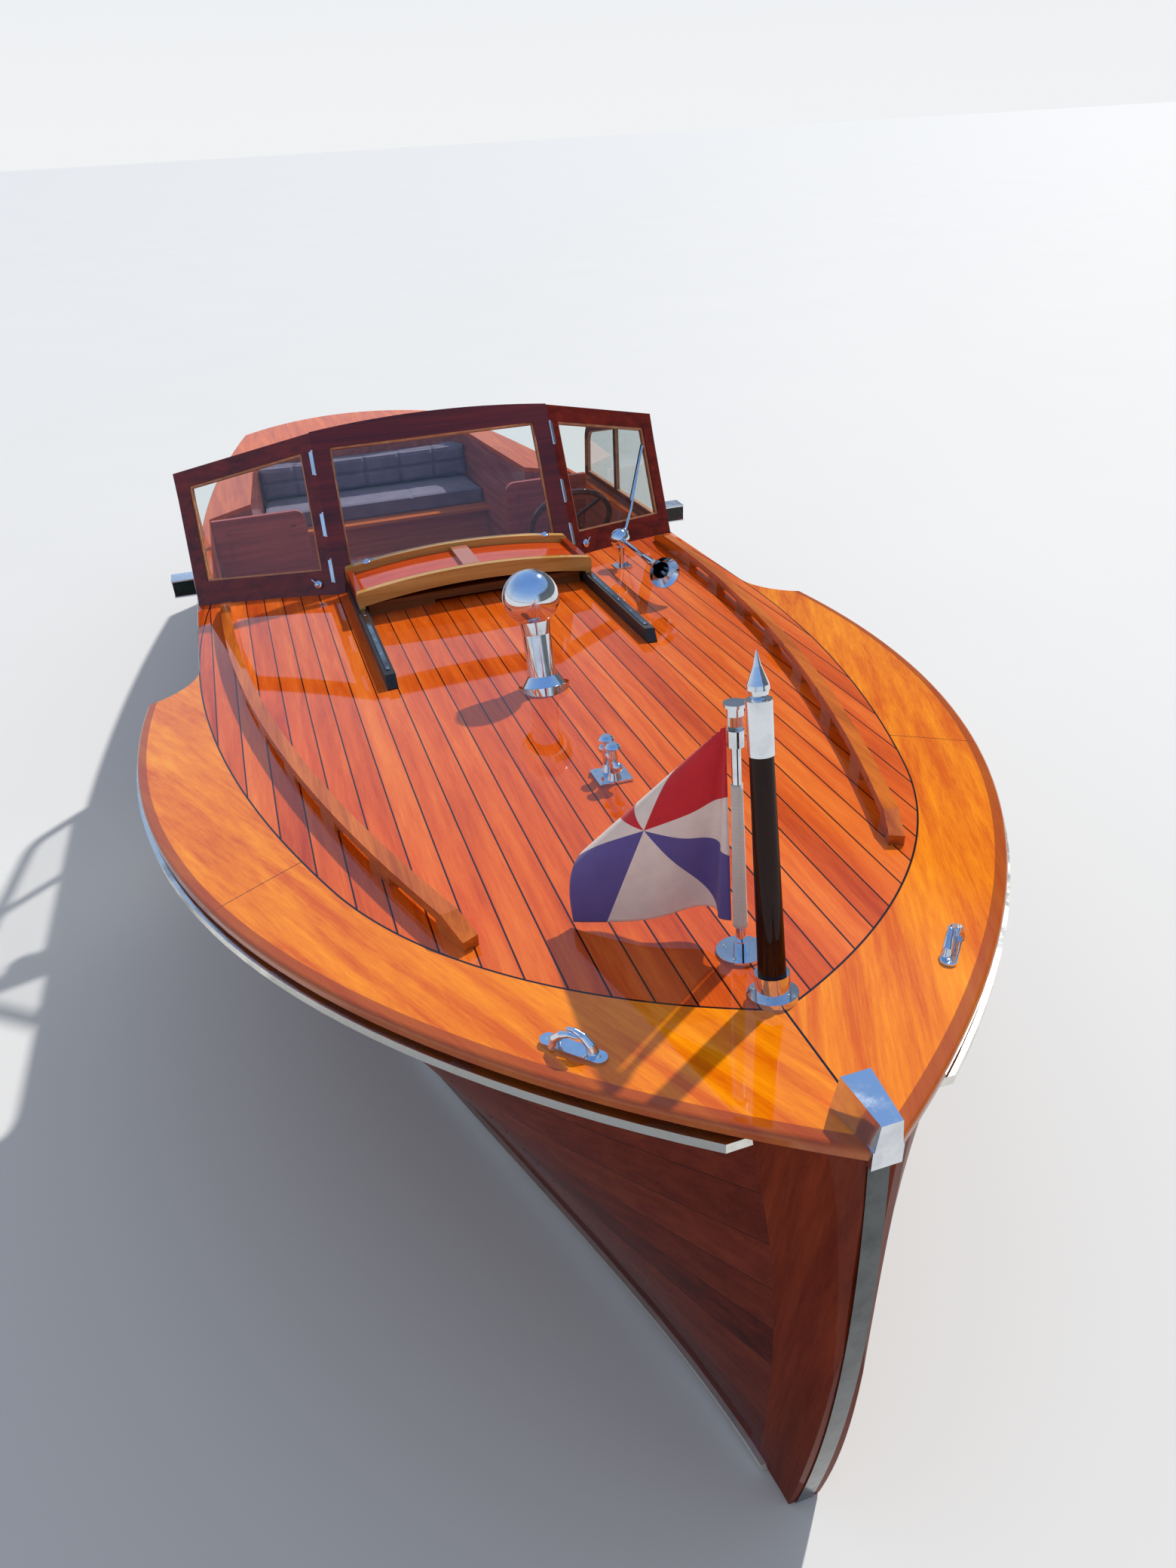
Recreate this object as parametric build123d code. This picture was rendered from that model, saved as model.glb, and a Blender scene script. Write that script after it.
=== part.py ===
from build123d import *
from math import asin, atan, atan2, cos, degrees, radians, sin, sqrt
import os

# Open motor launch of varnished mahogany, in millimetres
# +X points to the bow, +Y to port and +Z up
# The origin is on the waterline, below the outer feet of the windscreen

# Room that holds the whole boat, for cutting shapes
room_aft_x = -3800
room_front_x = 3400
room_half = 1500
room_low = -900
room_high = 1700

# Deck surface: one round crown, rising forward at one slope
deck_height = 1067      # the deck's centreline at the origin, from the waterline
deck_rise = 0.05        # rise for each unit of length towards the bow
crown_radius = 8000
deck_thick = 22

# Deck outline in plan, one side
nose_x = 3200
nose_half = 24
wing_x = 1150           # widest place of the flared foredeck
wing_half = 1135
step_x = 660            # where the side deck meets the hollow of the step
step_radius = 170
side_half = 955
side_aft_x = -300       # the side starts to narrow here
quarter_x = -3200
quarter_half = 640
stern_x = -3430

# Covering board's inner seam, one side
seam_front_x = 2880
seam_knuckle = (2160, 690)

# Hull planking and backbone
plank_thick = 24
overhang = 5            # deck edge beyond the planking
edge_round = 9          # rounding of the deck's upper edge
stem_top_x = 3186
stem_mid = (3192, 640)
stem_foot_x = 3100
forefoot = (2500, -318)
forefoot_mid = (2922, -172)
rabbet = 108            # width of the stem's side from its face
keel_half = 32
keel_bottom = -470
keel_entry = (2620, -250)
keel_front_x = 1900
keel_front_rise = 40
keel_flat = 1300        # the keel's bottom is level this far to both sides of the origin
skeg_aft_x = -2050
skeg_rise = 30
skeg_top = -150
skeg_rake = 20

transom_front_x = -3175
stem_band_thick = 3
stem_band_half = 19
stem_band_aft_x = 2600
stem_band_low = -300
stem_band_gap = 1       # below the cap
rub_proud = 9
rub_depth = 34          # from the deck's surface down to the strip's top
rub_height = 20
rub_front_x = 3085
rub_behind = 14         # how far the strip reaches in behind the deck's edge
chine_strip_proud = 12
chine_strip_half = 14
chine_strip_end = 75    # from the stem's foot
chine_strip_part = 12   # beside the stem band

# Stem cap
cap_front_x = 3208
cap_aft_x = 3104
cap_half = 26
cap_rise = 58
cap_drop = 34
cap_flare = 16          # wider at the deck than at its top, each side
cap_taper = 8           # narrower at its front than aft, each side
cap_front_length = 60

# Cockpit
cockpit_front_x = -40
cockpit_wide = 890
cockpit_neck_x = -1275
cockpit_neck_length = 110
cockpit_aft_x = -2600
cockpit_half_front = 690
cockpit_half_aft = 610
cockpit_corner = 140
lining_thick = 15
bulkhead_thick = 18
doorway_half = 270
doorway_top = 780
sole_top = 220
sole_thick = 18
sole_front_x = 900

# Seats
bench_depth = 480
bench_top = 560
bench_thick = 20
bench_toe = 60          # the front panel stands back from the seat's edge
cushion_back = 5        # the cushion stands back from the seat's edge
cushion_thick = 90
back_thick = 110
back_top = 850
companion_x = -800
companion_in = 470
companion_low_out = 828
companion_high_out = 868
companion_top = 1080
companion_thick = 22
companion_corner = 45
companion_depth = 430
companion_height = 530
companion_end_back = 40
helm_seat_x = -900
helm_seat_top = 1040
pad_thick = 60
pad_back = 6
soft_gap = 0.3

# Engine, its beds and its box
engine_front_x = -760
engine_aft_x = -1485
engine_half = 190
engine_low = -190
engine_top = 400
gearbox_length = 190
gearbox_drop = 140
bed_in = 120
bed_out = 175
bed_front_x = -640
bed_aft_x = -1600
box_front_x = -690
box_aft_x = -1560
box_half = 300
box_wall = 18
box_top = 540
lid_thick = 22
lid_overhang = 15
lid_gap = 0.3
hinge_radius = 7
hinge_bite = 1          # the lid's hinge rod runs this far into the lid
hinge_length = 420
hinge_knuckle = 40

# Shaft, propeller and rudder
shaft_fore_x = -1500
shaft_fore_z = -200
prop_x = -2850
prop_z = -450
shaft_radius = 15
coupling_radius = 52
coupling_length = 30
stern_tube_radius = 24
stern_tube_inside = 120
stern_tube_outside = 80
running_gap = 0.3
strut_from_prop = 130
strut_radius = 27
strut_length = 90
strut_half_thick = 7
palm_thick = 8
prop_radius = 175
prop_hub_radius = 34
prop_hub_length = 90
prop_blades = 3
prop_nut_radius = 26
prop_nut_length = 40
rudder_x = -3130
rudder_top = -245
rudder_low = -600
rudder_ahead = 95
rudder_behind = 205
rudder_half_thick = 9
rudder_stock_radius = 16
rudder_stock_top = -20
rudder_stock_bite = 60  # the stock ends this far above the blade's foot
rudder_head_gap = 18
rudder_tube_radius = 26

# Windscreen, given by the front face's corners on the port side
screen_mid_x = 249
screen_mid_half = 456
screen_top_mid_x = 4
screen_top_mid_half = 442
screen_top_mid_z = 1590
screen_out_x = 0
screen_out_half = 950
screen_top_out_x = -208
screen_top_out_half = 939
screen_top_out_z = 1453
screen_thick = 30
screen_arch = 26
screen_low_rail = 104
screen_top_rail = 60
screen_post = 62
screen_in_stile = 44
screen_out_stile = 52
screen_lap = 12
screen_foot = 15        # the frames' lower edges start this far below the deck
glass_thick = 6

# Side windows
side_window_half = 930
side_window_thick = 22
side_window_aft_x = -1078
side_window_aft_lean = 30
side_window_aft_z = 1235
side_window_rail = 38
side_window_front_rail = 50
side_window_low_rail = 46
side_window_mullion = 26
side_window_mullion_x = -617
side_window_corner = 110

# Sliding hatch
hatch_aft_x = 264       # middle of the aft beam
hatch_front_x = 566
hatch_radius = 2400
beam_half = 415
beam_low = 72           # above the deck, on the centreline
beam_high = 122
beam_thick = 32
beam_round = 12
panel_low = 80
panel_thick = 16
batten_half = 30
batten_thick = 14
cheek_in = 392
cheek_thick = 20
slide_gap = 0.3
hatchway_aft_x = 262
hatchway_front_x = 520
hatchway_half = 370
coaming_x = 534
coaming_half = 379
coaming_thick = 24
coaming_height = 42
coaming_notch_half = 150

# Hatch rails
rail_aft_x = 257
rail_front_x = 1204
rail_in_half = 388
rail_width = 32
rail_height = 40
rail_nose = 46
rail_nose_rise = 20

# Grab rails
handrail_aft_x = 110
handrail_bend_x = 300
handrail_front_x = 2490
handrail_half = 848
handrail_front_half = 460
handrail_width = 34
handrail_height = 50
handrail_feet = 9
handrail_foot = 90
handrail_top_bar = 24
handrail_slot_low = 0
handrail_end_height = 14
handrail_taper = 130
handrail_wedge = 60     # how far the end cuts reach beyond the rail

# Cowl ventilator
vent_x = 1395
vent_flange_radius = 72
vent_flange_thick = 6
vent_collar_radius = 62
vent_collar_height = 26
vent_neck_radius = 40
vent_throat_radius = 47
vent_throat_length = 70
vent_height = 252       # from the deck to the ball's centre
vent_ball_radius = 79
vent_wall = 3
vent_lean = 14
vent_mouth_back = 30
vent_lip_radius = 5

# Bollard
bollard_x = 1980
bollard_plate = 83
bollard_plate_thick = 7
bollard_spread = 46
bollard_post_radius = 11
bollard_waist_radius = 8
bollard_foot_radius = 17
bollard_foot_height = 18
bollard_cap_radius = 19
bollard_cap_height = 13
bollard_height = 94
bollard_bar_share = 0.55
bollard_bar = 104
bollard_bar_radius = 8
bollard_knob_radius = 12

# Light pole
pole_x = 2707
pole_lean = 6.8
pole_radius = 9
pole_height = 491
pole_flange_radius = 46
pole_flange_thick = 5
pole_collar_radius = 15
pole_collar_top = 28
light_length = 78
light_radius = 15
light_foot_length = 30
light_lens_inset = 2
light_cap_radius = 20
light_cap_length = 22
light_cap_thick = 6

# Flag, hung from the pole in folds that spread from its hoist's upper corner
flag_fly = 370
flag_hoist = 385
flag_foot = 66          # lower end of the hoist, along the pole
flag_thick = 3
flag_gap = 0.8          # between the lamp and the hoist

# Jackstaff
staff_x = 2837
staff_lean = 11
staff_low_radius = 25
staff_top_radius = 19
staff_wood_length = 520
staff_flange_radius = 45
staff_socket_wall = 6
staff_socket_height = 40
staff_floor = 6         # the wood stands this far above the deck
staff_ferrule_wall = 3
staff_ferrule_beyond = 12
staff_ferrule_length = 80
staff_finial_length = 80

# Bow fairleads
fairlead_x = 2832
fairlead_half = 363
fairlead_turn = -42
fairlead_length = 128
fairlead_width = 30
fairlead_thick = 7
fairlead_part = 6       # each horn stands this far off the foot's middle line

# Horn
horn_x = 420
horn_half = 583
horn_axis = 105
horn_length = 440
horn_bell_radius = 55
horn_can_radius = 36
horn_wall = 3
horn_foot = 62
horn_foot_thick = 6
horn_post_radius = 11
horn_can_back = 8
horn_hollow = 0.55      # share of the length where the hollow starts

# Side lights
nav_x = -98
nav_z = 1068
nav_half_length = 40
nav_half_height = 33
nav_out_half = 1030
nav_wall = 5
nav_lens_back = 2

# Helm
dash_in_half = 350
dash_low = 640
dash_depth = 150
dash_slope = 50
dash_lip = 60
dash_out_gap = 25
dash_top_gap = 5
wheel_x = -420
wheel_half = 640
wheel_z = 980
wheel_tilt = 30
wheel_radius = 178
wheel_rim_radius = 13
wheel_hub_radius = 34
wheel_hub_length = 44
wheel_spokes = 4
wheel_spoke_width = 18
wheel_spoke_thick = 8
column_radius = 22
column_length = 300

os.makedirs("parts", exist_ok=True)

tilt = degrees(atan(deck_rise))
PORT = 1
STARBOARD = -1
SIDES = {"port": PORT, "starboard": STARBOARD}

nodes = {}


# Shapes that many pieces use

def add(name, shape):
    shape.label = name
    nodes[name] = shape


def polygon(points):
    return make_face(Polyline(*points, close=True))


def mirrored(shape):
    return mirror(shape, about=Plane.XZ)


def both_sides(shape):
    return Compound(children=[shape, mirrored(shape)])


def prism(face, low=room_low, high=room_high):
    return extrude(Location((0, 0, low)) * face, amount=high - low)


def box_between(x, y, z):
    """A box from its low and high places along each axis."""
    size = [high - low for low, high in (x, y, z)]
    middle = [(high + low) / 2 for low, high in (x, y, z)]
    return Location(tuple(middle)) * Box(*size)


def side_prism(points, half_width):
    """A prism across the boat from an outline in side view."""
    side = Plane(origin=(0, 0, 0), x_dir=(1, 0, 0), z_dir=(0, -1, 0))
    return extrude(side * polygon(points), amount=half_width, both=True)


def upright(radius, low, high):
    return Location((0, 0, low)) * Cylinder(radius, high - low, align=(Align.CENTER, Align.CENTER, Align.MIN))


def cone_up(low_radius, high_radius, height):
    return Cone(low_radius, high_radius, height, align=(Align.CENTER, Align.CENTER, Align.MIN))


def turned(profile):
    """A shape turned about Z from its profile of radii and heights."""
    return revolve(Plane.XZ * polygon(profile), axis=Axis.Z)


def plane_through(a, b, c):
    """A plane with its origin at a, its X towards b and its Z out of the side that c completes."""
    a, b, c = Vector(*a), Vector(*b), Vector(*c)
    x_dir = (b - a).normalized()
    z_dir = x_dir.cross(c - a).normalized()
    return Plane(origin=a, x_dir=x_dir, z_dir=z_dir)


# Deck surface and plan outlines

def crown(y):
    return (sqrt(crown_radius ** 2 - y ** 2) - crown_radius) / cos(radians(tilt))


def deck_z(x, y=0):
    return deck_height + deck_rise * x + crown(y)


def flat_deck_layer(low, high, half_width=room_half):
    """The crowned layer between two heights, in the deck's own level frame."""
    def arc(height):
        edge = sqrt((crown_radius + height) ** 2 - half_width ** 2) - crown_radius
        return ThreePointArc((-half_width, edge), (0, height), (half_width, edge))
    upper = arc(high)
    lower = arc(low)
    profile = make_face([upper, lower, Line(upper @ 0, lower @ 0), Line(upper @ 1, lower @ 1)])
    across = Plane(origin=(room_aft_x, 0, 0), x_dir=(0, 1, 0), z_dir=(1, 0, 0))
    return extrude(across * profile, amount=room_front_x - room_aft_x)


def deck_layer(top, bottom, half_width=room_half):
    """A crowned slab between two depths below the deck's surface."""
    return Location((0, 0, deck_height), (0, -tilt, 0)) * flat_deck_layer(-bottom, -top, half_width)


def above_deck(low, high):
    """The crowned layer between two heights above the deck's surface."""
    return deck_layer(-high, -low)


def seated(shape):
    """Cuts a fitting's underside to the deck that it stands on."""
    return shape - deck_block


def deck_frame(x, y=0, turn=0, lean_aft=None):
    """A place on the deck, level with it fore and aft, turned about its upright."""
    lean = tilt if lean_aft is None else lean_aft
    return Location((x, y, deck_z(x, y)), (0, -lean, 0)) * Location((0, 0, 0), (0, 0, turn))


def bow_arc():
    """The flared foredeck's edge, one arc from the widest place to the nose."""
    across = wing_half - nose_half
    along = nose_x - wing_x
    radius = (across ** 2 + along ** 2) / (2 * across)
    return radius


def wing_edge(x):
    radius = bow_arc()
    return wing_half - radius + sqrt(radius ** 2 - (x - wing_x) ** 2)


def side_edge(x):
    """The side deck's outer edge aft of the step."""
    if x > side_aft_x:
        return side_half
    along = side_aft_x - quarter_x
    drop = side_half - quarter_half
    radius = (along ** 2 + drop ** 2) / (2 * drop)
    return side_half - radius + sqrt(radius ** 2 - (side_aft_x - x) ** 2)


def step_corner_x():
    """Where the step's hollow reaches the foredeck's edge."""
    x = step_x + step_radius
    for _ in range(20):
        reach = side_half + step_radius - wing_edge(x)
        x = step_x + sqrt(step_radius ** 2 - reach ** 2)
    return x


def stern_bulge(y):
    """The stern's rounded end in plan."""
    bulge = quarter_x - stern_x
    radius = (quarter_half ** 2 + bulge ** 2) / (2 * bulge)
    return stern_x + radius - sqrt(radius ** 2 - y ** 2)


def half_outline():
    corner = step_corner_x()
    corner_y = wing_edge(corner)
    wing_mid_x = (nose_x + corner) / 2
    hollow_x = step_x + step_radius * sin(radians(42))
    hollow_y = side_half + step_radius * (1 - cos(radians(42)))
    side_mid_x = (side_aft_x + quarter_x) / 2
    edges = [
        Line((nose_x, 0), (nose_x, nose_half)),
        ThreePointArc((nose_x, nose_half), (wing_mid_x, wing_edge(wing_mid_x)), (corner, corner_y)),
        ThreePointArc((corner, corner_y), (hollow_x, hollow_y), (step_x, side_half)),
        Line((step_x, side_half), (side_aft_x, side_half)),
        ThreePointArc((side_aft_x, side_half), (side_mid_x, side_edge(side_mid_x)),
                      (quarter_x, quarter_half)),
    ]
    half_sagitta = stern_bulge(quarter_half / 2)
    edges += [
        ThreePointArc((quarter_x, quarter_half), (half_sagitta, quarter_half / 2), (stern_x, 0)),
        Line((stern_x, 0), (nose_x, 0)),
    ]
    return make_face(edges)


def outline(inset=0):
    half = half_outline()
    whole = half + mirrored(half)
    if inset:
        whole = offset(whole, amount=-inset)
    return whole


# Hull form

# One row for each station from the bow aft, in the columns
# x, sheer half-breadth, chine half-breadth, chine height, keel height, bulge of the side
FORE_STATIONS = [
    (3207, 24, 22, -10, -120, -2),
    (2970, 296, 62, 30, -190, -20),
    (2650, 610, 150, 50, -275, -44),
    (2200, 888, 300, 45, -335, -52),
    (1700, 1070, 470, 30, -370, -46),
    (1150, 1138, 640, 5, -388, -40),
    (step_x, 1120, 755, -12, -392, -36),
]
AFT_STATIONS = [
    (step_x, 960, 755, -12, -392, 26),
    (-200, 960, 800, -45, -385, 24),
    (-1300, 925, 800, -62, -350, 22),
    (-2400, 800, 715, -68, -275, 20),
    (-3460, 575, 520, -60, -190, 14),
]


def hull_section(station, inset):
    x, y_sheer, y_chine, z_chine, z_keel, bulge = station
    chine = (max(y_chine - inset, 5), z_chine + inset / 2)
    sheer = (max(y_sheer - inset, 6), deck_z(x, y_sheer))
    middle = ((chine[0] + sheer[0]) / 2 + bulge, (chine[1] + sheer[1]) / 2)
    keel = (0, z_keel + inset)
    top = 1500
    half = [
        Line(keel, chine),
        ThreePointArc(chine, middle, sheer),
        Line(sheer, (sheer[0], top)),
    ]
    other = [mirror(edge, about=Plane.YZ) for edge in half]
    lid = Line((sheer[0], top), (-sheer[0], top))
    plane = Plane(origin=(x, 0, 0), x_dir=(0, 1, 0), z_dir=(1, 0, 0))
    return plane * make_face(half + [lid] + other)


def hull_loft(stations, inset):
    return loft([hull_section(station, inset) for station in stations])


def profile_prism(inset=0, half_width=room_half):
    """The side view of the hull, from the stem round the forefoot to the stern."""
    edges = [
        Line((-3700, 1600), (stem_top_x - inset, 1600)),
        Line((stem_top_x - inset, 1600), (stem_top_x - inset, 1200)),
        ThreePointArc((stem_top_x - inset, 1200), (stem_mid[0] - inset, stem_mid[1]),
                      (stem_foot_x - inset, 0)),
        ThreePointArc((stem_foot_x - inset, 0), (forefoot_mid[0] - inset, forefoot_mid[1]),
                      (forefoot[0] - inset, forefoot[1])),
        Line((forefoot[0] - inset, forefoot[1]), (1200, -700)),
        Line((1200, -700), (-3700, -700)),
        Line((-3700, -700), (-3700, 1600)),
    ]
    side = Plane(origin=(0, 0, 0), x_dir=(1, 0, 0), z_dir=(0, -1, 0))
    return extrude(side * make_face(edges), amount=half_width, both=True)


def hull_body(inset):
    fore = hull_loft(FORE_STATIONS, inset)
    aft = hull_loft(AFT_STATIONS, inset)
    under_deck = deck_layer(deck_thick, 2200)
    body = (fore + aft) & under_deck & prism(outline(overhang + inset))
    return body & profile_prism(inset)


# Hull pieces

def chine_points(shift=0):
    rows = FORE_STATIONS + AFT_STATIONS[1:]
    return [(row[0], row[3] + shift) for row in rows]


def build_hull(outer, inner):
    planking = outer - inner
    behind_stem = profile_prism(rabbet)
    add("stem", outer - behind_stem)
    planking = planking & behind_stem
    chine = chine_points()
    under = [(room_aft_x, chine[-1][1]), (room_aft_x, room_low), (room_front_x, room_low),
             (room_front_x, chine[0][1])]
    below = side_prism(chine + under, room_half)
    bores = stern_tube_bore() + rudder_bore(rudder_tube_radius)
    add("hull_bottom", (planking & below) - bores)
    topsides = planking - below
    stern_piece = box_between((room_aft_x, transom_front_x), (-room_half, room_half), (room_low, room_high))
    add("transom", topsides & stern_piece)
    sides = topsides - stern_piece
    port = box_between((room_aft_x, room_front_x), (0, room_half), (room_low, room_high))
    add("topsides_port", sides & port)
    add("topsides_starboard", sides - port)


def build_keel(outer):
    points = [
        keel_entry,
        (keel_front_x, keel_bottom + keel_front_rise),
        (keel_flat, keel_bottom),
        (-keel_flat, keel_bottom),
        (skeg_aft_x, keel_bottom + skeg_rise),
        (skeg_aft_x - skeg_rake, skeg_top),
    ]
    keel = side_prism(points, keel_half) - outer
    add("keel", keel - stern_tube_bore())


def build_stem_band():
    """A metal band over the stem's face, from under the cap round the forefoot."""
    wrap = profile_prism(-stem_band_thick) - profile_prism(0)
    top = deck_z(stem_top_x) - cap_drop
    span = box_between((stem_band_aft_x, room_front_x), (-stem_band_half, stem_band_half),
                       (stem_band_low, top - stem_band_gap))
    add("stem_band", (wrap & span) - nodes["keel"])


def build_stem_cap():
    """The metal cap on the stem head, a wedge that narrows upwards and forwards."""
    top = deck_z(stem_top_x) + cap_rise
    low = deck_z(stem_top_x) - cap_drop
    flared = polygon([(cap_aft_x, -cap_half - cap_flare), (cap_aft_x, cap_half + cap_flare),
                      (cap_front_x, cap_half), (cap_front_x, -cap_half)])
    narrow = polygon([(cap_aft_x, -cap_half), (cap_aft_x, cap_half),
                      (cap_front_x, cap_half - cap_taper), (cap_front_x, -cap_half + cap_taper)])
    upper = loft([Location((0, 0, deck_z(stem_top_x) - 20)) * flared, Location((0, 0, top)) * narrow])
    lower = box_between((stem_top_x - cap_front_length, cap_front_x), (-cap_half, cap_half),
                        (low, deck_z(stem_top_x) + 5))
    cap = upper - deck_block + lower
    for name in ("stem", "topsides_port", "topsides_starboard", "covering_board_port",
                 "covering_board_starboard"):
        cap = cap - nodes[name]
    add("stem_cap", cap)


def build_rub_strips(outer):
    """Half-round metal strips under the deck's edge."""
    ring = prism(outline(-rub_proud) - outline(overhang + rub_behind))
    band = (ring & deck_layer(rub_depth, rub_depth + rub_height)) - outer
    span = box_between((quarter_x + 20, rub_front_x), (-room_half, room_half), (0, room_high))
    add("rub_strips", band & span)


def build_chine_strips(outer):
    """Pale spray strips on the chines."""
    wider = hull_loft(FORE_STATIONS, -chine_strip_proud) + hull_loft(AFT_STATIONS, -chine_strip_proud)
    band = side_prism(chine_points(chine_strip_half) + chine_points(-chine_strip_half)[::-1], room_half)
    span = box_between((transom_front_x, stem_foot_x - chine_strip_end), (-room_half, room_half), (-200, 200))
    strips = (wider & band & span) - outer
    middle = box_between((keel_front_x, room_front_x),
                         (-stem_band_half - chine_strip_part, stem_band_half + chine_strip_part), (-300, 300))
    add("chine_strips", strips - middle)


# Deck pieces

def seam_half():
    """The planked part of the foredeck inside the covering board, one side."""
    kx, ky = seam_knuckle
    drop = side_half - ky
    along = kx - step_x
    aft_radius = (along ** 2 + drop ** 2) / (2 * drop)
    mid_x = (kx + step_x) / 2
    mid_y = side_half - aft_radius + sqrt(aft_radius ** 2 - (mid_x - step_x) ** 2)
    heading = along / aft_radius
    front_x = seam_front_x
    chord = sqrt((front_x - kx) ** 2 + ky ** 2)
    start = asin(heading)
    turn = atan2(ky, front_x - kx) - start
    front_radius = chord / (2 * sin(turn))
    cx = kx - front_radius * sin(start)
    cy = ky - front_radius * cos(start)
    middle = start + turn
    front_mid = (cx + front_radius * sin(middle), cy + front_radius * cos(middle))
    edges = [
        ThreePointArc((front_x, 0), front_mid, (kx, ky)),
        ThreePointArc((kx, ky), (mid_x, mid_y), (step_x, side_half)),
        Line((step_x, side_half), (cockpit_front_x, side_half)),
        Line((cockpit_front_x, side_half), (cockpit_front_x, 0)),
        Line((cockpit_front_x, 0), (front_x, 0)),
    ]
    return make_face(edges)


def cockpit_plan(inset=0):
    """The cockpit's opening: wide behind the windscreen, narrower beside the seats."""
    shoulder_x = cockpit_neck_x - cockpit_neck_length
    points = [
        (cockpit_front_x, cockpit_wide),
        (cockpit_neck_x, cockpit_wide),
        (shoulder_x, cockpit_half_front),
        (cockpit_aft_x, cockpit_half_aft),
    ]
    face = polygon(points + [(x, -y) for x, y in reversed(points)])
    face = fillet(face.vertices().group_by(Axis.X)[0], cockpit_corner)
    if inset:
        face = offset(face, amount=-inset)
    return face


def edge_rounded(piece, inside_x):
    """Rounds a deck piece's upper edge where it lies on the deck's outline."""
    edges = []
    for edge in piece.edges():
        spot = edge @ 0.5
        out = wing_edge(spot.X) if spot.X > inside_x else side_edge(spot.X)
        on_top = spot.Z > deck_z(spot.X, spot.Y) - 1
        if on_top and edge.length > 200 and abs(abs(spot.Y) - out) < 1:
            edges.append(edge)
    return fillet(edges, edge_round)


def build_decks():
    layer = deck_layer(0, deck_thick)
    planked = seam_half() + mirrored(seam_half())
    hatchway = box_between((hatchway_aft_x, hatchway_front_x), (-hatchway_half, hatchway_half), (700, 1500))
    add("foredeck", (layer & prism(planked)) - hatchway)
    ahead = prism(half_outline()) & box_between((step_x, room_front_x), (0, room_half), (room_low, room_high))
    board = edge_rounded((layer & ahead) - prism(seam_half()), step_x)
    add("covering_board_port", board)
    add("covering_board_starboard", mirrored(board))
    aft = box_between((room_aft_x, cockpit_front_x), (-room_half, room_half), (room_low, room_high))
    add("side_decks", edge_rounded((layer & prism(outline()) & aft) - prism(cockpit_plan()), step_x))


# Cockpit

def build_cockpit(inner):
    bulkhead_aft_x = cockpit_front_x - bulkhead_thick
    ring = prism(cockpit_plan(-lining_thick) - cockpit_plan(), sole_top, room_high)
    behind = box_between((room_aft_x, bulkhead_aft_x), (-room_half, room_half), (room_low, room_high))
    add("cockpit_lining", ring & behind & inner)
    wall = box_between((bulkhead_aft_x, cockpit_front_x), (-room_half, room_half), (room_low, room_high))
    doorway = box_between((-200, 200), (-doorway_half, doorway_half), (sole_top, doorway_top))
    floor = box_between((cockpit_aft_x - 60, sole_front_x), (-room_half, room_half),
                        (sole_top - sole_thick, sole_top))
    add("bulkhead", (inner & wall) - doorway - floor)
    well = box_between((box_aft_x + box_wall, box_front_x - box_wall),
                       (-box_half + box_wall, box_half - box_wall), (0, 400))
    add("cockpit_sole", (inner & floor) - well)


def bench_region(depth, wall=0):
    """The aft end of the cockpit's plan, as deep as a seat."""
    front_x = cockpit_aft_x + depth
    keep = Location(((front_x - 4000) / 2, 0)) * Rectangle(front_x + 4000, 3000)
    return cockpit_plan(wall) & keep


def build_seats():
    shelf_low = bench_top - bench_thick
    front_x = cockpit_aft_x + bench_depth - bench_toe
    shelf = prism(bench_region(bench_depth), shelf_low, bench_top)
    front = prism(bench_region(bench_depth - bench_toe), sole_top, shelf_low)
    front = front & box_between((front_x - bench_thick, front_x), (-room_half, room_half), (0, room_high))
    add("bench", shelf + front)
    cushion_top = bench_top + cushion_thick
    cushion = prism(bench_region(bench_depth - cushion_back, soft_gap), bench_top + soft_gap, cushion_top)
    add("bench_cushion", cushion)
    add("backrest", prism(bench_region(back_thick, soft_gap), cushion_top + soft_gap, back_top))


def seat_back(aft_x, low_out, high_out, top):
    """An upright seat back across one side of the cockpit, its inboard top corner rounded."""
    points = [(companion_in, sole_top), (low_out, sole_top), (high_out, top), (companion_in, top)]
    face = polygon(points)
    face = fillet([face.vertices().sort_by_distance((companion_in, top, 0))[0]], companion_corner)
    across = Plane(origin=(aft_x, 0, 0), x_dir=(0, 1, 0), z_dir=(1, 0, 0))
    return extrude(across * face, amount=companion_thick)


def build_forward_seats():
    """A companion seat that faces aft and a helm seat that faces forward, one on each side."""
    # side, x of the back's aft face, which way the seat faces, top of the back
    rows = [
        (STARBOARD, companion_x - companion_thick, -1, companion_top),
        (PORT, helm_seat_x - companion_thick, 1, helm_seat_top),
    ]
    seats, pads = [], []
    for side, aft_x, facing, top in rows:
        back = seat_back(aft_x, companion_low_out, companion_high_out, top)
        face_x = aft_x if facing < 0 else aft_x + companion_thick
        far_x = face_x + facing * companion_depth
        low_x, high_x = min(face_x, far_x), max(face_x, far_x)
        shelf = box_between((low_x, high_x), (companion_in, companion_low_out),
                            (companion_height - bench_thick, companion_height))
        end = box_between((low_x + companion_end_back, high_x - companion_end_back),
                          (companion_in, companion_in + bench_thick),
                          (sole_top, companion_height - bench_thick))
        seat = back + shelf + end
        pad = box_between((low_x + pad_back, high_x - pad_back),
                          (companion_in + pad_back, companion_low_out - pad_back),
                          (companion_height + soft_gap, companion_height + pad_thick))
        if side == STARBOARD:
            seat = mirrored(seat)
            pad = mirrored(pad)
        seats.append(seat)
        pads.append(pad)
    add("forward_seats", Compound(children=seats))
    add("forward_cushions", Compound(children=pads))


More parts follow.
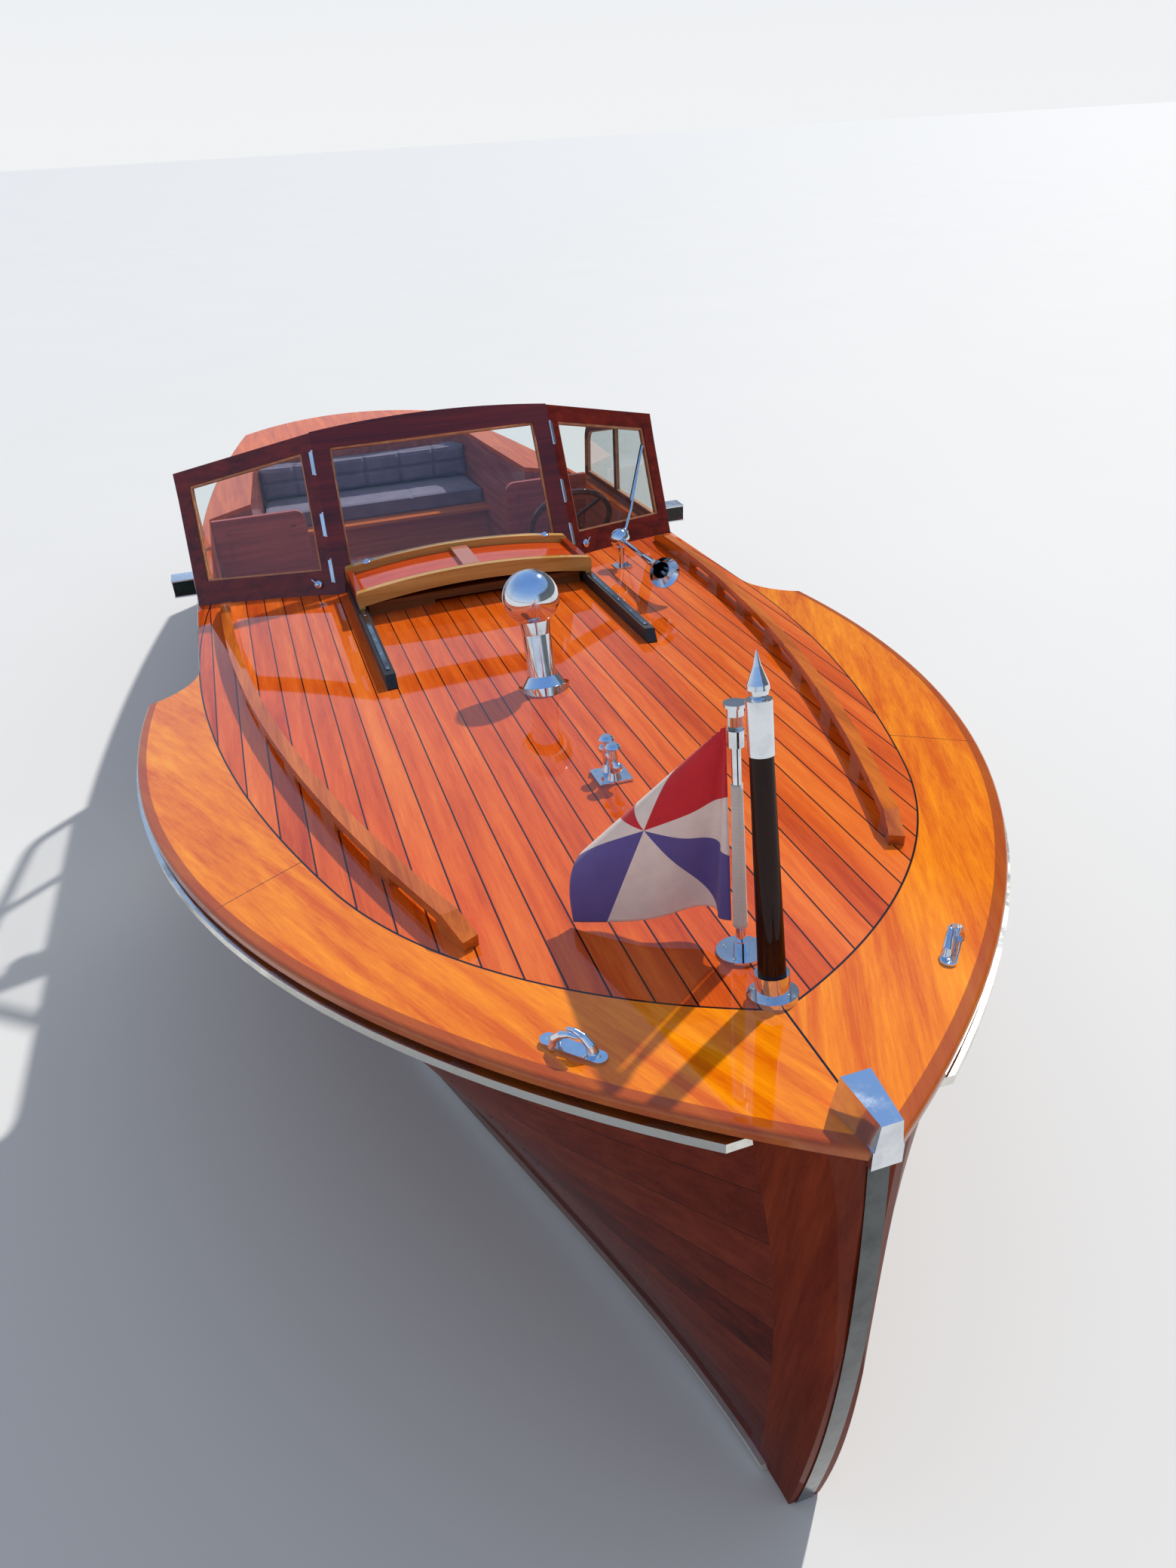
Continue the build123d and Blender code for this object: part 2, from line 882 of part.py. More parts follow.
def build_helm():
    """The console under the windscreen on the port side, with the column and the wheel."""
    wall_x = cockpit_front_x - bulkhead_thick
    aft_x = wall_x - dash_depth
    under_deck = deck_z(wall_x, cockpit_wide) - dash_top_gap
    points = [(wall_x, dash_low), (wall_x, under_deck), (aft_x + dash_slope, under_deck),
              (aft_x, under_deck - dash_lip), (aft_x + dash_slope, dash_low)]
    dash = side_prism(points, room_half) & box_between(
        (aft_x, wall_x), (dash_in_half, cockpit_wide - dash_out_gap), (0, room_high))
    add("helm_console", dash)
    frame = wheel_frame()
    start = wheel_hub_length / 2 + slide_gap
    column = frame * upright(column_radius, -start - column_length, -start)
    add("steering_column", column - dash)
    wheel = Torus(wheel_radius, wheel_rim_radius) + Cylinder(wheel_hub_radius, wheel_hub_length)
    for i in range(wheel_spokes):
        turn = Location((0, 0, 0), (0, 0, 45 + i * 360 / wheel_spokes))
        spoke = Box(wheel_radius, wheel_spoke_width, wheel_spoke_thick)
        wheel += turn * Location((wheel_radius / 2, 0, 0)) * spoke
    add("steering_wheel", frame * wheel)


def wheel_frame():
    """The wheel's centre, with Z up its column towards the helmsman."""
    return Location((wheel_x, wheel_half, wheel_z), (0, -(90 - wheel_tilt), 0))


# Engine, its beds and its box

def build_engine():
    """The engine's block, with its gearbox lower at the aft end."""
    block = box_between((engine_aft_x, engine_front_x), (-engine_half, engine_half), (engine_low, engine_top))
    gearbox_top = engine_top - gearbox_drop
    over = box_between((engine_aft_x - 10, engine_aft_x + gearbox_length), (-room_half, room_half),
                       (gearbox_top, engine_top + 10))
    add("engine", block - over)


def build_engine_beds(inner):
    bed = box_between((bed_aft_x, bed_front_x), (bed_in, bed_out), (room_low, engine_low))
    add("engine_beds", both_sides(bed & inner))


def lid_pin():
    """The lid's hinge line, ahead of the box's front and under the lid."""
    return box_front_x + hinge_radius + hinge_bite, box_top + lid_gap + hinge_bite - hinge_radius


def build_engine_box():
    """An open-topped box over the engine, with a lid on a hinge along its front."""
    outside = box_between((box_aft_x, box_front_x), (-box_half, box_half), (sole_top, box_top))
    inside = box_between((box_aft_x + box_wall, box_front_x - box_wall),
                         (-box_half + box_wall, box_half - box_wall), (0, 900))
    low = box_top + lid_gap
    edge = lid_overhang
    lid = box_between((box_aft_x - edge, box_front_x + edge), (-box_half - edge, box_half + edge),
                      (low, low + lid_thick))
    lid = fillet(lid.edges().filter_by(Axis.Z).group_by(Axis.X)[0], 30)
    pin_x, pin_z = lid_pin()
    lid += Location((pin_x, 0, pin_z), (90, 0, 0)) * Cylinder(hinge_radius, hinge_length)
    add("engine_lid", lid)
    knuckle_start = hinge_length / 2 + lid_gap
    knuckle_end = knuckle_start + hinge_knuckle
    knuckle_radius = hinge_radius - 2 * hinge_bite
    knuckle = Location((pin_x, (knuckle_start + knuckle_end) / 2, pin_z), (90, 0, 0)) * Cylinder(
        knuckle_radius, hinge_knuckle)
    knuckle += box_between((box_front_x, pin_x), (knuckle_start, knuckle_end),
                           (pin_z - knuckle_radius, pin_z + knuckle_radius / 2))
    add("engine_box", (outside - inside) + knuckle + mirrored(knuckle))


# Running gear

def shaft_line(distance=0):
    """The propeller shaft's frame: its Z runs aft and down, from the coupling."""
    fall = degrees(atan((shaft_fore_z - prop_z) / (shaft_fore_x - prop_x)))
    return Location((shaft_fore_x, 0, shaft_fore_z), (0, -90 - fall, 0)) * Location((0, 0, distance))


def shaft_length():
    return sqrt((shaft_fore_z - prop_z) ** 2 + (shaft_fore_x - prop_x) ** 2)


def shaft_point(distance):
    """The place on the shaft's line this far from the coupling, in side view."""
    share = distance / shaft_length()
    return (shaft_fore_x + share * (prop_x - shaft_fore_x), shaft_fore_z + share * (prop_z - shaft_fore_z))


def shaft_bore():
    return shaft_line(shaft_length() / 2) * Cylinder(shaft_radius + running_gap, shaft_length() + 200)


def stern_tube_bore():
    return shaft_line(shaft_length() / 2) * Cylinder(stern_tube_radius, shaft_length())


def rudder_bore(radius):
    return Location((rudder_x, 0, 0)) * Cylinder(radius, 900)


def propeller_blade():
    """One blade, lofted through sections that flatten from hub to tip."""
    # radius, chord, thickness, pitch angle from the disc
    rows = [
        (prop_hub_radius - 8, 62, 11, 58),
        (prop_radius * 0.45, 98, 8, 40),
        (prop_radius * 0.75, 118, 6, 27),
        (prop_radius, 56, 3, 20),
    ]
    sections = []
    for radius, chord, thick, pitch in rows:
        turn = radians(pitch)
        plane = Plane(origin=(radius, 0, 0), x_dir=(0, cos(turn), sin(turn)), z_dir=(1, 0, 0))
        half = chord / 2
        front = ThreePointArc((-half, 0), (0, thick / 2), (half, 0))
        back = ThreePointArc((half, 0), (0, -thick / 2), (-half, 0))
        sections.append(plane * make_face([front, back]))
    return loft(sections)


def build_propeller():
    wheel = Cylinder(prop_hub_radius, prop_hub_length)
    for i in range(prop_blades):
        wheel += Location((0, 0, 0), (0, 0, 360 / prop_blades * i)) * propeller_blade()
    wheel = wheel - Cylinder(shaft_radius, prop_hub_length + 20)
    return shaft_line(shaft_length()) * wheel


def shaft_strut(outer):
    """The bracket that carries the shaft ahead of the propeller."""
    distance = shaft_length() - strut_from_prop
    x, z = shaft_point(distance)
    near = outer & box_between((x - 100, x + 100), (-50, 50), (-400, 0))
    palm = (Location((0, 0, -palm_thick)) * near) - outer
    palm = palm & box_between((x - 100, x + 100), (-50, 50), (-400, -100))
    leg = side_prism([(x - 60, -100), (x + 50, -100), (x + 30, z + 10), (x - 28, z)], strut_half_thick)
    barrel = shaft_line(distance) * Cylinder(strut_radius, strut_length)
    return (barrel + (leg - outer) + palm) - shaft_bore()


def rudder_tube():
    tube = upright(rudder_tube_radius, rudder_top + rudder_head_gap, rudder_stock_top - 20)
    tube = tube - upright(rudder_stock_radius + running_gap, rudder_top, rudder_stock_top)
    return Location((rudder_x, 0, 0)) * tube


def build_running_gear(outer):
    length = shaft_length()
    rod = shaft_line(length / 2) * Cylinder(shaft_radius, length)
    coupling = shaft_line(coupling_length / 2) * Cylinder(coupling_radius, coupling_length)
    nut = shaft_line(length + (prop_hub_length + prop_nut_length) / 2) * Cone(
        prop_nut_radius, prop_nut_radius / 2, prop_nut_length)
    tip = shaft_line(length + prop_hub_length / 4) * Cylinder(shaft_radius, prop_hub_length / 2)
    add("propeller_shaft", rod + tip + coupling)
    start = stern_tube_inside
    end = (shaft_fore_x - skeg_aft_x) * length / (shaft_fore_x - prop_x) + stern_tube_outside
    tube = shaft_line((start + end) / 2) * Cylinder(stern_tube_radius, end - start)
    tube = tube - shaft_bore()
    add("propeller", build_propeller() + nut)
    add("shaft_bearings", Compound(children=[tube, shaft_strut(outer), rudder_tube()]))
    build_rudder()


def build_rudder():
    low = rudder_low + rudder_stock_bite
    stock = Location((rudder_x, 0, 0)) * upright(rudder_stock_radius, low, rudder_stock_top)
    points = [
        (rudder_x + rudder_ahead, rudder_top),
        (rudder_x - rudder_behind + 20, rudder_top + 12),
        (rudder_x - rudder_behind, rudder_low + 70),
        (rudder_x - rudder_behind + 60, rudder_low),
        (rudder_x + rudder_ahead - 30, rudder_low),
    ]
    add("rudder", stock + side_prism(points, rudder_half_thick))


# Windscreen and side windows

def inset_points(points, insets):
    """Moves each side of a convex polygon inwards by its own amount."""
    count = len(points)
    lines = []
    for i in range(count):
        (x0, y0), (x1, y1) = points[i], points[(i + 1) % count]
        length = sqrt((x1 - x0) ** 2 + (y1 - y0) ** 2)
        nx, ny = -(y1 - y0) / length, (x1 - x0) / length
        lines.append((x0 + nx * insets[i], y0 + ny * insets[i], x1 - x0, y1 - y0))
    result = []
    for i in range(count):
        ax, ay, adx, ady = lines[i - 1]
        bx, by, bdx, bdy = lines[i]
        t = ((bx - ax) * bdy - (by - ay) * bdx) / (adx * bdy - ady * bdx)
        result.append((ax + adx * t, ay + ady * t))
    return result


def framed_panel(corners, insets, thick, arch=0):
    """A glazed frame behind the plane of its corners, which go round from the bottom left.
    Insets are the widths of the rails: bottom, right, top, left."""
    plane = plane_through(corners[0], corners[1], corners[3])
    flat = [plane.to_local_coords(Vector(*corner)) for corner in corners]
    flat = [(v.X, v.Y) for v in flat]
    opening = polygon(inset_points(flat, insets))
    if arch:
        crest = ((flat[2][0] + flat[3][0]) / 2, (flat[2][1] + flat[3][1]) / 2 + arch)
        outside = make_face([
            Line(flat[0], flat[1]),
            Line(flat[1], flat[2]),
            ThreePointArc(flat[2], crest, flat[3]),
            Line(flat[3], flat[0]),
        ])
    else:
        outside = polygon(flat)
    frame = extrude(plane * (outside - opening), amount=-thick)
    middle = plane.offset(-thick / 2)
    pane = extrude(middle * opening, amount=glass_thick / 2, both=True)
    return frame, pane


def mitre_plane(low, top, first, second):
    """The plane along a post, halfway between the headings of the two frames that meet there."""
    post = (Vector(*top) - Vector(*low)).normalized()
    across = first.normalized() + second.normalized()
    across = across - post * across.dot(post)
    return Plane(origin=Vector(*low), z_dir=across.normalized())


def build_windscreen():
    low_mid = Vector(screen_mid_x, screen_mid_half, deck_z(screen_mid_x, screen_mid_half) - screen_foot)
    top_mid = Vector(screen_top_mid_x, screen_top_mid_half, screen_top_mid_z)
    low_out = Vector(screen_out_x, screen_out_half, deck_z(screen_out_x, screen_out_half) - screen_foot)
    top_out = Vector(screen_top_out_x, screen_top_out_half, screen_top_out_z)
    lap = Vector(0, screen_lap, 0)
    heading = (low_out - low_mid).normalized()
    mitre = mitre_plane(low_mid, top_mid, lap, heading)

    def flip(point):
        return Vector(point.X, -point.Y, point.Z)
    low, top = low_mid + lap, top_mid + lap
    post = screen_post + screen_lap
    frame, pane = framed_panel([flip(low), low, top, flip(top)],
                               [screen_low_rail, post, screen_top_rail, post], screen_thick, screen_arch)
    frame = seated(split(frame, bisect_by=mitre, keep=Keep.BOTTOM))
    frame = mirrored(split(mirrored(frame), bisect_by=mitre, keep=Keep.BOTTOM))
    lap = heading * -screen_lap
    wing, wing_pane = framed_panel([low_mid + lap, low_out, top_out, top_mid + lap],
                                   [screen_low_rail, screen_out_stile, screen_top_rail,
                                    screen_in_stile + screen_lap], screen_thick)
    wing = seated(split(wing, bisect_by=mitre, keep=Keep.TOP))
    add("windscreen_centre_frame", frame)
    add("windscreen_wings", both_sides(wing))
    return [pane, wing_pane, mirrored(wing_pane)]


def build_side_windows(screen_panes):
    """A glazed side window with one mullion, leaning with the windscreen at its front."""
    rows = [
        (side_window_aft_x, deck_z(side_window_aft_x, side_window_half) - screen_foot),
        (screen_out_x, deck_z(screen_out_x, side_window_half) - screen_foot),
        (screen_top_out_x, screen_top_out_z),
        (side_window_aft_x + side_window_aft_lean, side_window_aft_z),
    ]
    outside = fillet([polygon(rows).vertices().sort_by_distance((*rows[3], 0))[0]], side_window_corner)
    low_rail = side_window_low_rail + screen_foot
    inner = inset_points(rows, [low_rail, side_window_front_rail, side_window_rail, side_window_rail])
    opening = fillet([polygon(inner).vertices().sort_by_distance((*inner[3], 0))[0]],
                     side_window_corner - side_window_rail)
    lights = opening - Location((side_window_mullion_x, 1200)) * Rectangle(side_window_mullion, 900)
    side = Plane(origin=(0, side_window_half, 0), x_dir=(1, 0, 0), z_dir=(0, -1, 0))
    frame = extrude(side * (outside - lights), amount=side_window_thick / 2, both=True)
    glass = extrude(side * lights, amount=glass_thick / 2, both=True)
    frame = seated(frame) - nodes["windscreen_wings"]
    add("side_windows", both_sides(frame))
    add("window_glass", Compound(children=screen_panes + [glass, mirrored(glass)]))


# Sliding hatch

def arch_layer(low, high, half, length, radius):
    """A cambered board across the boat, its middle between two heights, its length along X."""
    def arc(height):
        edge = height - radius + sqrt(radius ** 2 - half ** 2)
        return ThreePointArc((-half, edge), (0, height), (half, edge))
    upper = arc(high)
    lower = arc(low)
    face = make_face([upper, lower, Line(upper @ 0, lower @ 0), Line(upper @ 1, lower @ 1)])
    across = Plane(origin=(-length / 2, 0, 0), x_dir=(0, 1, 0), z_dir=(1, 0, 0))
    return extrude(across * face, amount=length)


def build_hatch():
    """The sliding hatch: two cambered beams, a panel between them and cheeks on the rails."""
    place = Location((0, 0, deck_height), (0, -tilt, 0))
    stretch = 1 / cos(radians(tilt))
    aft_u = hatch_aft_x * stretch
    front_u = hatch_front_x * stretch
    beam = arch_layer(beam_low, beam_high, beam_half, beam_thick, hatch_radius)
    beam = fillet(beam.edges().filter_by(Axis.X), beam_round)
    beams = [Location((u, 0, 0)) * beam for u in (aft_u, front_u)]
    gap = front_u - aft_u - beam_thick
    middle = Location(((aft_u + front_u) / 2, 0, 0))
    panel_top = panel_low + panel_thick
    panel = middle * arch_layer(panel_low, panel_top, beam_half - beam_round, gap, hatch_radius)
    batten = middle * arch_layer(panel_top, panel_top + batten_thick, batten_half, gap, hatch_radius)
    low = rail_height + slide_gap
    cheek = box_between((-gap / 2 - beam_thick, gap / 2 + beam_thick), (cheek_in, cheek_in + cheek_thick),
                        (0, panel_low))
    runner = both_sides(middle * cheek)
    raised = flat_deck_layer(low, 200)
    cheeks = (runner & raised) - panel - beams[0] - beams[1]
    add("hatch_frame", place * (cheeks + beams[0] + beams[1]))
    add("hatch_panel", place * (panel + batten))


def build_hatch_rails():
    inside, outside = rail_in_half, rail_in_half + rail_width
    rail = box_between((rail_aft_x, rail_front_x), (inside, outside), (900, 1400))
    rail = rail & above_deck(0, rail_height)
    front_z = deck_z(rail_front_x)
    nose = side_prism([(rail_front_x - rail_nose, front_z + rail_height + rail_nose_rise),
                       (rail_front_x + 10, front_z + rail_height + rail_nose_rise),
                       (rail_front_x + 10, front_z - 20)], 600)
    add("hatch_rails", both_sides(rail - nose))
    half = coaming_thick / 2
    coaming = box_between((coaming_x - half, coaming_x + half), (-coaming_half, coaming_half), (900, 1400))
    coaming = coaming & above_deck(0, coaming_height)
    notch = box_between((coaming_x - 30, coaming_x + 30), (-coaming_notch_half, coaming_notch_half),
                        (900, deck_z(coaming_x) + coaming_height / 3))
    add("hatch_coaming", coaming - notch)


# Deck fittings

def handrail_band():
    """The rail's plan: straight aft, then one long arc to the front."""
    along = handrail_front_x - handrail_bend_x
    drop = handrail_half - handrail_front_half
    radius = (along ** 2 + drop ** 2) / (2 * drop)
    centre_y = handrail_half - radius
    turn = 2 * atan(drop / along)

    def at(offset_out, angle):
        r = radius + offset_out
        return (handrail_bend_x + r * sin(angle), centre_y + r * cos(angle))
    half = handrail_width / 2
    outer = ThreePointArc(at(half, 0), at(half, turn / 2), at(half, turn))
    inner = ThreePointArc(at(-half, turn), at(-half, turn / 2), at(-half, 0))
    aft_out = (handrail_aft_x, handrail_half + half)
    aft_in = (handrail_aft_x, handrail_half - half)
    return make_face([
        Line(aft_out, at(half, 0)),
        outer,
        Line(at(half, turn), at(-half, turn)),
        inner,
        Line(at(-half, 0), aft_in),
        Line(aft_in, aft_out),
    ])


def build_handrails():
    """Curved grab rails: a bar on a row of feet, tapered down at both ends."""
    body = prism(handrail_band()) & above_deck(0, handrail_height)
    pitch = (handrail_front_x - handrail_aft_x - handrail_foot) / (handrail_feet - 1)
    low, high = handrail_slot_low, handrail_height - handrail_top_bar
    layer = above_deck(low, high)
    for i in range(handrail_feet - 1):
        start = handrail_aft_x + handrail_foot + pitch * i
        slot = box_between((start, start + pitch - handrail_foot), (300, 1000), (800, 1500))
        body = body - (slot & layer)
    for x, facing in ((handrail_aft_x, 1), (handrail_front_x, -1)):
        base = deck_z(x, handrail_half if facing > 0 else handrail_front_half)
        inboard = x + facing * handrail_taper
        wedge = side_prism([
            (x - facing * handrail_wedge, base + handrail_end_height - 8),
            (inboard, base + handrail_height + 14),
            (inboard, base + 400),
            (x - facing * handrail_wedge, base + 400),
        ], 1200)
        body = body - wedge
    add("handrails", both_sides(body))


def build_vent():
    """A cowl ventilator: a hollow ball head on a neck that swells into it, its mouth facing aft."""
    flange = upright(vent_flange_radius, -20, vent_flange_thick)
    collar = Location((0, 0, vent_flange_thick)) * cone_up(
        vent_collar_radius, vent_neck_radius + vent_wall, vent_collar_height)
    neck = upright(vent_neck_radius, 0, vent_height)
    throat_low = vent_height - vent_ball_radius - vent_throat_length / 3
    throat = Location((0, 0, throat_low)) * cone_up(vent_neck_radius, vent_throat_radius, vent_throat_length)
    ball_at = Location((0, 0, vent_height))
    vent = flange + collar + neck + throat + ball_at * Sphere(vent_ball_radius)
    hollow = ball_at * Sphere(vent_ball_radius - vent_wall)
    hollow += upright(vent_neck_radius - vent_wall, vent_flange_thick, vent_height)
    mouth = box_between((-200, -vent_mouth_back), (-200, 200), (vent_height - 200, vent_height + 200))
    lip_radius = sqrt(vent_ball_radius ** 2 - vent_mouth_back ** 2) - vent_wall / 2
    lip = Location((-vent_mouth_back, 0, vent_height), (0, 90, 0)) * Torus(lip_radius, vent_lip_radius)
    vent = (vent - hollow - mouth) + lip
    add("cowl_vent", seated(deck_frame(vent_x, 0, 0, tilt + vent_lean) * vent))


def build_bollard():
    """Twin waisted posts with domed caps, a cross bar and a square plate."""
    body = Box(bollard_plate, bollard_plate, 2 * bollard_plate_thick)
    bar_z = bollard_height * bollard_bar_share
    cap_low = bollard_height - bollard_cap_height / 2
    post = turned([
        (0, 0),
        (bollard_foot_radius, 0),
        (bollard_foot_radius, bollard_plate_thick),
        (bollard_post_radius, bollard_plate_thick + bollard_foot_height),
        (bollard_post_radius, bar_z + bollard_bar_radius + 4),
        (bollard_waist_radius, cap_low - 4),
        (bollard_cap_radius - 5, cap_low - 1),
        (bollard_cap_radius, cap_low + 4),
        (bollard_cap_radius - 3, cap_low + 8),
        (bollard_cap_radius - 9, cap_low + bollard_cap_height),
        (0, cap_low + bollard_cap_height),
    ])
    for side in SIDES.values():
        body += Location((side * bollard_spread / 2, 0, 0)) * post
    body += Location((0, 0, bar_z), (0, 90, 0)) * Cylinder(bollard_bar_radius, bollard_bar)
    for side in SIDES.values():
        body += Location((side * bollard_bar / 2, 0, bar_z)) * Sphere(bollard_knob_radius)
    add("bollard", seated(deck_frame(bollard_x) * body))


def build_light_pole():
    frame = deck_frame(pole_x, 0, 0, pole_lean)
    base = upright(pole_flange_radius, -30, pole_flange_thick)
    base += upright(pole_collar_radius, pole_flange_thick, pole_collar_top)
    low = pole_height - light_length
    lens_low, lens_high = low + light_foot_length, pole_height - light_cap_length
    tube = upright(pole_radius, 0, low) + upright(light_radius, low, lens_low)
    cap = upright(light_radius, lens_high, pole_height - light_cap_thick)
    cap += upright(light_cap_radius, pole_height - light_cap_thick, pole_height)
    add("light_pole", Compound(children=[seated(frame * (base + tube)), frame * cap]))
    add("light_lens", frame * upright(light_radius - light_lens_inset, lens_low, lens_high))


# One row for each crease or edge that spreads from the hoist's upper corner
# Its angle on the flat cloth, 0 on the hoist and 90 on the upper edge, its heading from the bow, its slope
FLAG_CREASES = [
    (0, 232, 0),
    (43.9, 232, 35.7),
    (64, 212, 43),
    (90, 207, 18),
]


def flag_creases():
    """The creases' directions, in the pole's frame, and their lengths to the cloth's edge."""
    rows = []
    for angle, heading, slope in FLAG_CREASES:
        turn = radians(angle)
        reach = min(flag_fly / max(sin(turn), 0.01), flag_hoist / max(cos(turn), 0.01))
        flat = sin(radians(slope))
        way = (flat * cos(radians(heading)), flat * sin(radians(heading)), -cos(radians(slope)))
        rows.append(tuple(part * reach for part in way))
    return rows


def build_flag():
    """The flag as flat leaves between its creases, beside its pole towards starboard and aft."""
    heading = radians(FLAG_CREASES[0][1])
    out = light_radius + flag_gap
    corner = Vector(out * cos(heading), out * sin(heading), flag_foot + flag_hoist)
    ends = [corner + Vector(*way) for way in flag_creases()]
    leaves = None
    for first, second in zip(ends, ends[1:]):
        plane = plane_through(corner, first, second)
        flat = [plane.to_local_coords(point) for point in (corner, first, second)]
        leaf = polygon([(point.X, point.Y) for point in flat])
        leaf = extrude(plane * leaf, amount=flag_thick / 2, both=True)
        leaves = leaf if leaves is None else leaves + leaf
    leaves = leaves & upright(flag_hoist * 2, 0, corner.Z - flag_thick)
    add("flag", deck_frame(pole_x, 0, 0, pole_lean) * leaves)


def build_jackstaff():
    frame = deck_frame(staff_x, 0, 0, staff_lean)
    top = staff_floor + staff_wood_length
    wood = Location((0, 0, staff_floor)) * cone_up(staff_low_radius, staff_top_radius, staff_wood_length)
    socket = upright(staff_flange_radius, -40, staff_floor)
    socket += upright(staff_low_radius + staff_socket_wall, staff_floor, staff_floor + staff_socket_height)
    add("jackstaff", frame * wood)
    ferrule_top = top + staff_ferrule_beyond
    ferrule = upright(staff_top_radius + staff_ferrule_wall, top - staff_ferrule_length, ferrule_top) - wood
    # share of the finial's length, share of the ferrule's radius
    rows = [(0.0, 0.55), (0.06, 0.62), (0.12, 0.86), (0.22, 0.98), (0.32, 0.94), (0.48, 0.68), (0.68, 0.36),
            (1.0, 0.05)]
    side = [(staff_top_radius * share, staff_finial_length * along) for along, share in rows]
    point = turned([(0, 0)] + side + [(0, staff_finial_length)])
    finial = frame * (ferrule + Location((0, 0, ferrule_top - 1)) * point)
    add("jackstaff_fittings", Compound(children=[seated(frame * (socket - wood)), finial]))


def build_fairleads():
    """Bow chocks: a horn rises from each end of a long foot and curls over past the other's tip."""
    foot = extrude(SlotOverall(fairlead_length, fairlead_width), amount=fairlead_thick)
    foot += Location((0, 0, -12)) * extrude(SlotOverall(fairlead_length, fairlead_width), amount=12)
    # place along the foot from its middle, height, radius of the horn
    rows = [(-34, 2, 12), (-31, 18, 9), (-18, 32, 7.5), (-2, 39, 5.5), (13, 38, 3)]
    horn = None
    for (x, z, radius), (next_x, next_z, next_radius) in zip(rows, rows[1:]):
        length = sqrt((next_x - x) ** 2 + (next_z - z) ** 2)
        lean = degrees(atan2(next_x - x, next_z - z))
        part = Location((x, 0, z), (0, lean, 0)) * cone_up(radius, next_radius, length)
        part += Location((next_x, 0, next_z)) * Sphere(next_radius)
        horn = part if horn is None else horn + part
    body = foot
    for turn in (0, 180):
        body += Location((0, 0, 0), (0, 0, turn)) * Location((0, fairlead_part, 0)) * horn
    frame = deck_frame(fairlead_x, fairlead_half, fairlead_turn)
    add("fairleads", both_sides(seated(frame * body)))


def build_horn():
    """A trumpet horn: a round can aft, a long tube and a flared bell ahead."""
    frame = deck_frame(horn_x, horn_half)
    foot = Location((0, 0, horn_foot_thick - 10)) * Box(horn_foot, horn_foot, 20)
    post = upright(horn_post_radius, 0, horn_axis)
    can = Location((-horn_can_back, 0, horn_axis)) * Sphere(horn_can_radius)
    # share of the length, radius
    shape = [(0.0, 13), (0.12, 8), (0.55, 10), (0.78, 17), (0.93, 32), (1.0, horn_bell_radius)]
    outside = [(radius, share * horn_length) for share, radius in shape]
    hollow = [(radius - horn_wall, share * horn_length) for share, radius in reversed(shape[2:])]
    profile = [(0, 0)] + outside + hollow + [(0, horn_hollow * horn_length)]
    bell = Location((0, 0, horn_axis), (0, 90, 0)) * turned(profile)
    add("horn", seated(frame * (foot + post + can + bell)))


def build_nav_lights():
    inside = side_window_half + side_window_thick / 2
    x0, x1 = nav_x - nav_half_length, nav_x + nav_half_length
    z0, z1 = nav_z - nav_half_height, nav_z + nav_half_height
    body = box_between((x0, x1), (inside, nav_out_half), (z0, z1))
    hollow = box_between((x0 + 4 * nav_wall, x1 + nav_wall), (inside + 2 * nav_wall, nav_out_half + nav_wall),
                         (z0 + nav_wall, z1 - nav_wall))
    lens = box_between((x0 + 4 * nav_wall, x1 - 1), (inside + 2 * nav_wall, nav_out_half - nav_lens_back),
                       (z0 + nav_wall, z1 - nav_wall))
    add("nav_lights", both_sides(body - hollow - nodes["windscreen_wings"]))
    add("nav_lens_red", lens)
    add("nav_lens_green", mirrored(lens))


def build_all():
    outer = hull_body(0)
    inner = hull_body(plank_thick)
    build_hull(outer, inner)
    build_keel(outer)
    build_decks()
    build_stem_band()
    build_stem_cap()
    build_rub_strips(outer)
    build_chine_strips(outer)
    build_cockpit(inner)
    build_seats()
    build_forward_seats()
    build_engine()
    build_engine_beds(inner)
    build_engine_box()
    build_running_gear(outer)
    build_side_windows(build_windscreen())
    build_hatch()
    build_hatch_rails()
    build_handrails()
    build_vent()
    build_bollard()
    build_light_pole()
    build_flag()
    build_jackstaff()
    build_fairleads()
    build_horn()
    build_nav_lights()
    build_helm()


deck_block = deck_layer(0, 400)
build_all()
for name, shape in nodes.items():
    export_step(shape, os.path.join("parts", name + ".step"))
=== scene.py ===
import bmesh
import bpy
from math import atan2, cos, degrees, exp, pi, radians, sin, sqrt
from mathutils import Matrix, Vector


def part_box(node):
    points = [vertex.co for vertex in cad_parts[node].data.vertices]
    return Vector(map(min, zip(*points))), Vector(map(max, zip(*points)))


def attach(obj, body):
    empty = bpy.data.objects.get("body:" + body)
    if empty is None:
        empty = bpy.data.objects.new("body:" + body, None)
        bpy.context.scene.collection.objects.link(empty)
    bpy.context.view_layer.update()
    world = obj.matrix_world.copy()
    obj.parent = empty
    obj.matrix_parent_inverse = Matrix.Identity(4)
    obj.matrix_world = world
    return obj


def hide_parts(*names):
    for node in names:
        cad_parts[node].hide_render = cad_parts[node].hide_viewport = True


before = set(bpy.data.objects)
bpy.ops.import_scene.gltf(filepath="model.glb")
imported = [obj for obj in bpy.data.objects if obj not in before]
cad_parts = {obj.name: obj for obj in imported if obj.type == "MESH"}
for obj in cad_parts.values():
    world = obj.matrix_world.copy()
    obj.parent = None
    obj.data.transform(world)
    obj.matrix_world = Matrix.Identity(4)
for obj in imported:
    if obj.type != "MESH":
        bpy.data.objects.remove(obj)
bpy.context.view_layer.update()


# Viewpoint, floor and light
# The launch sits in a pale floor at her waterline, seen from ahead of her starboard bow.
# One soft lamp stands high on her port quarter and a pale sky fills in the rest.

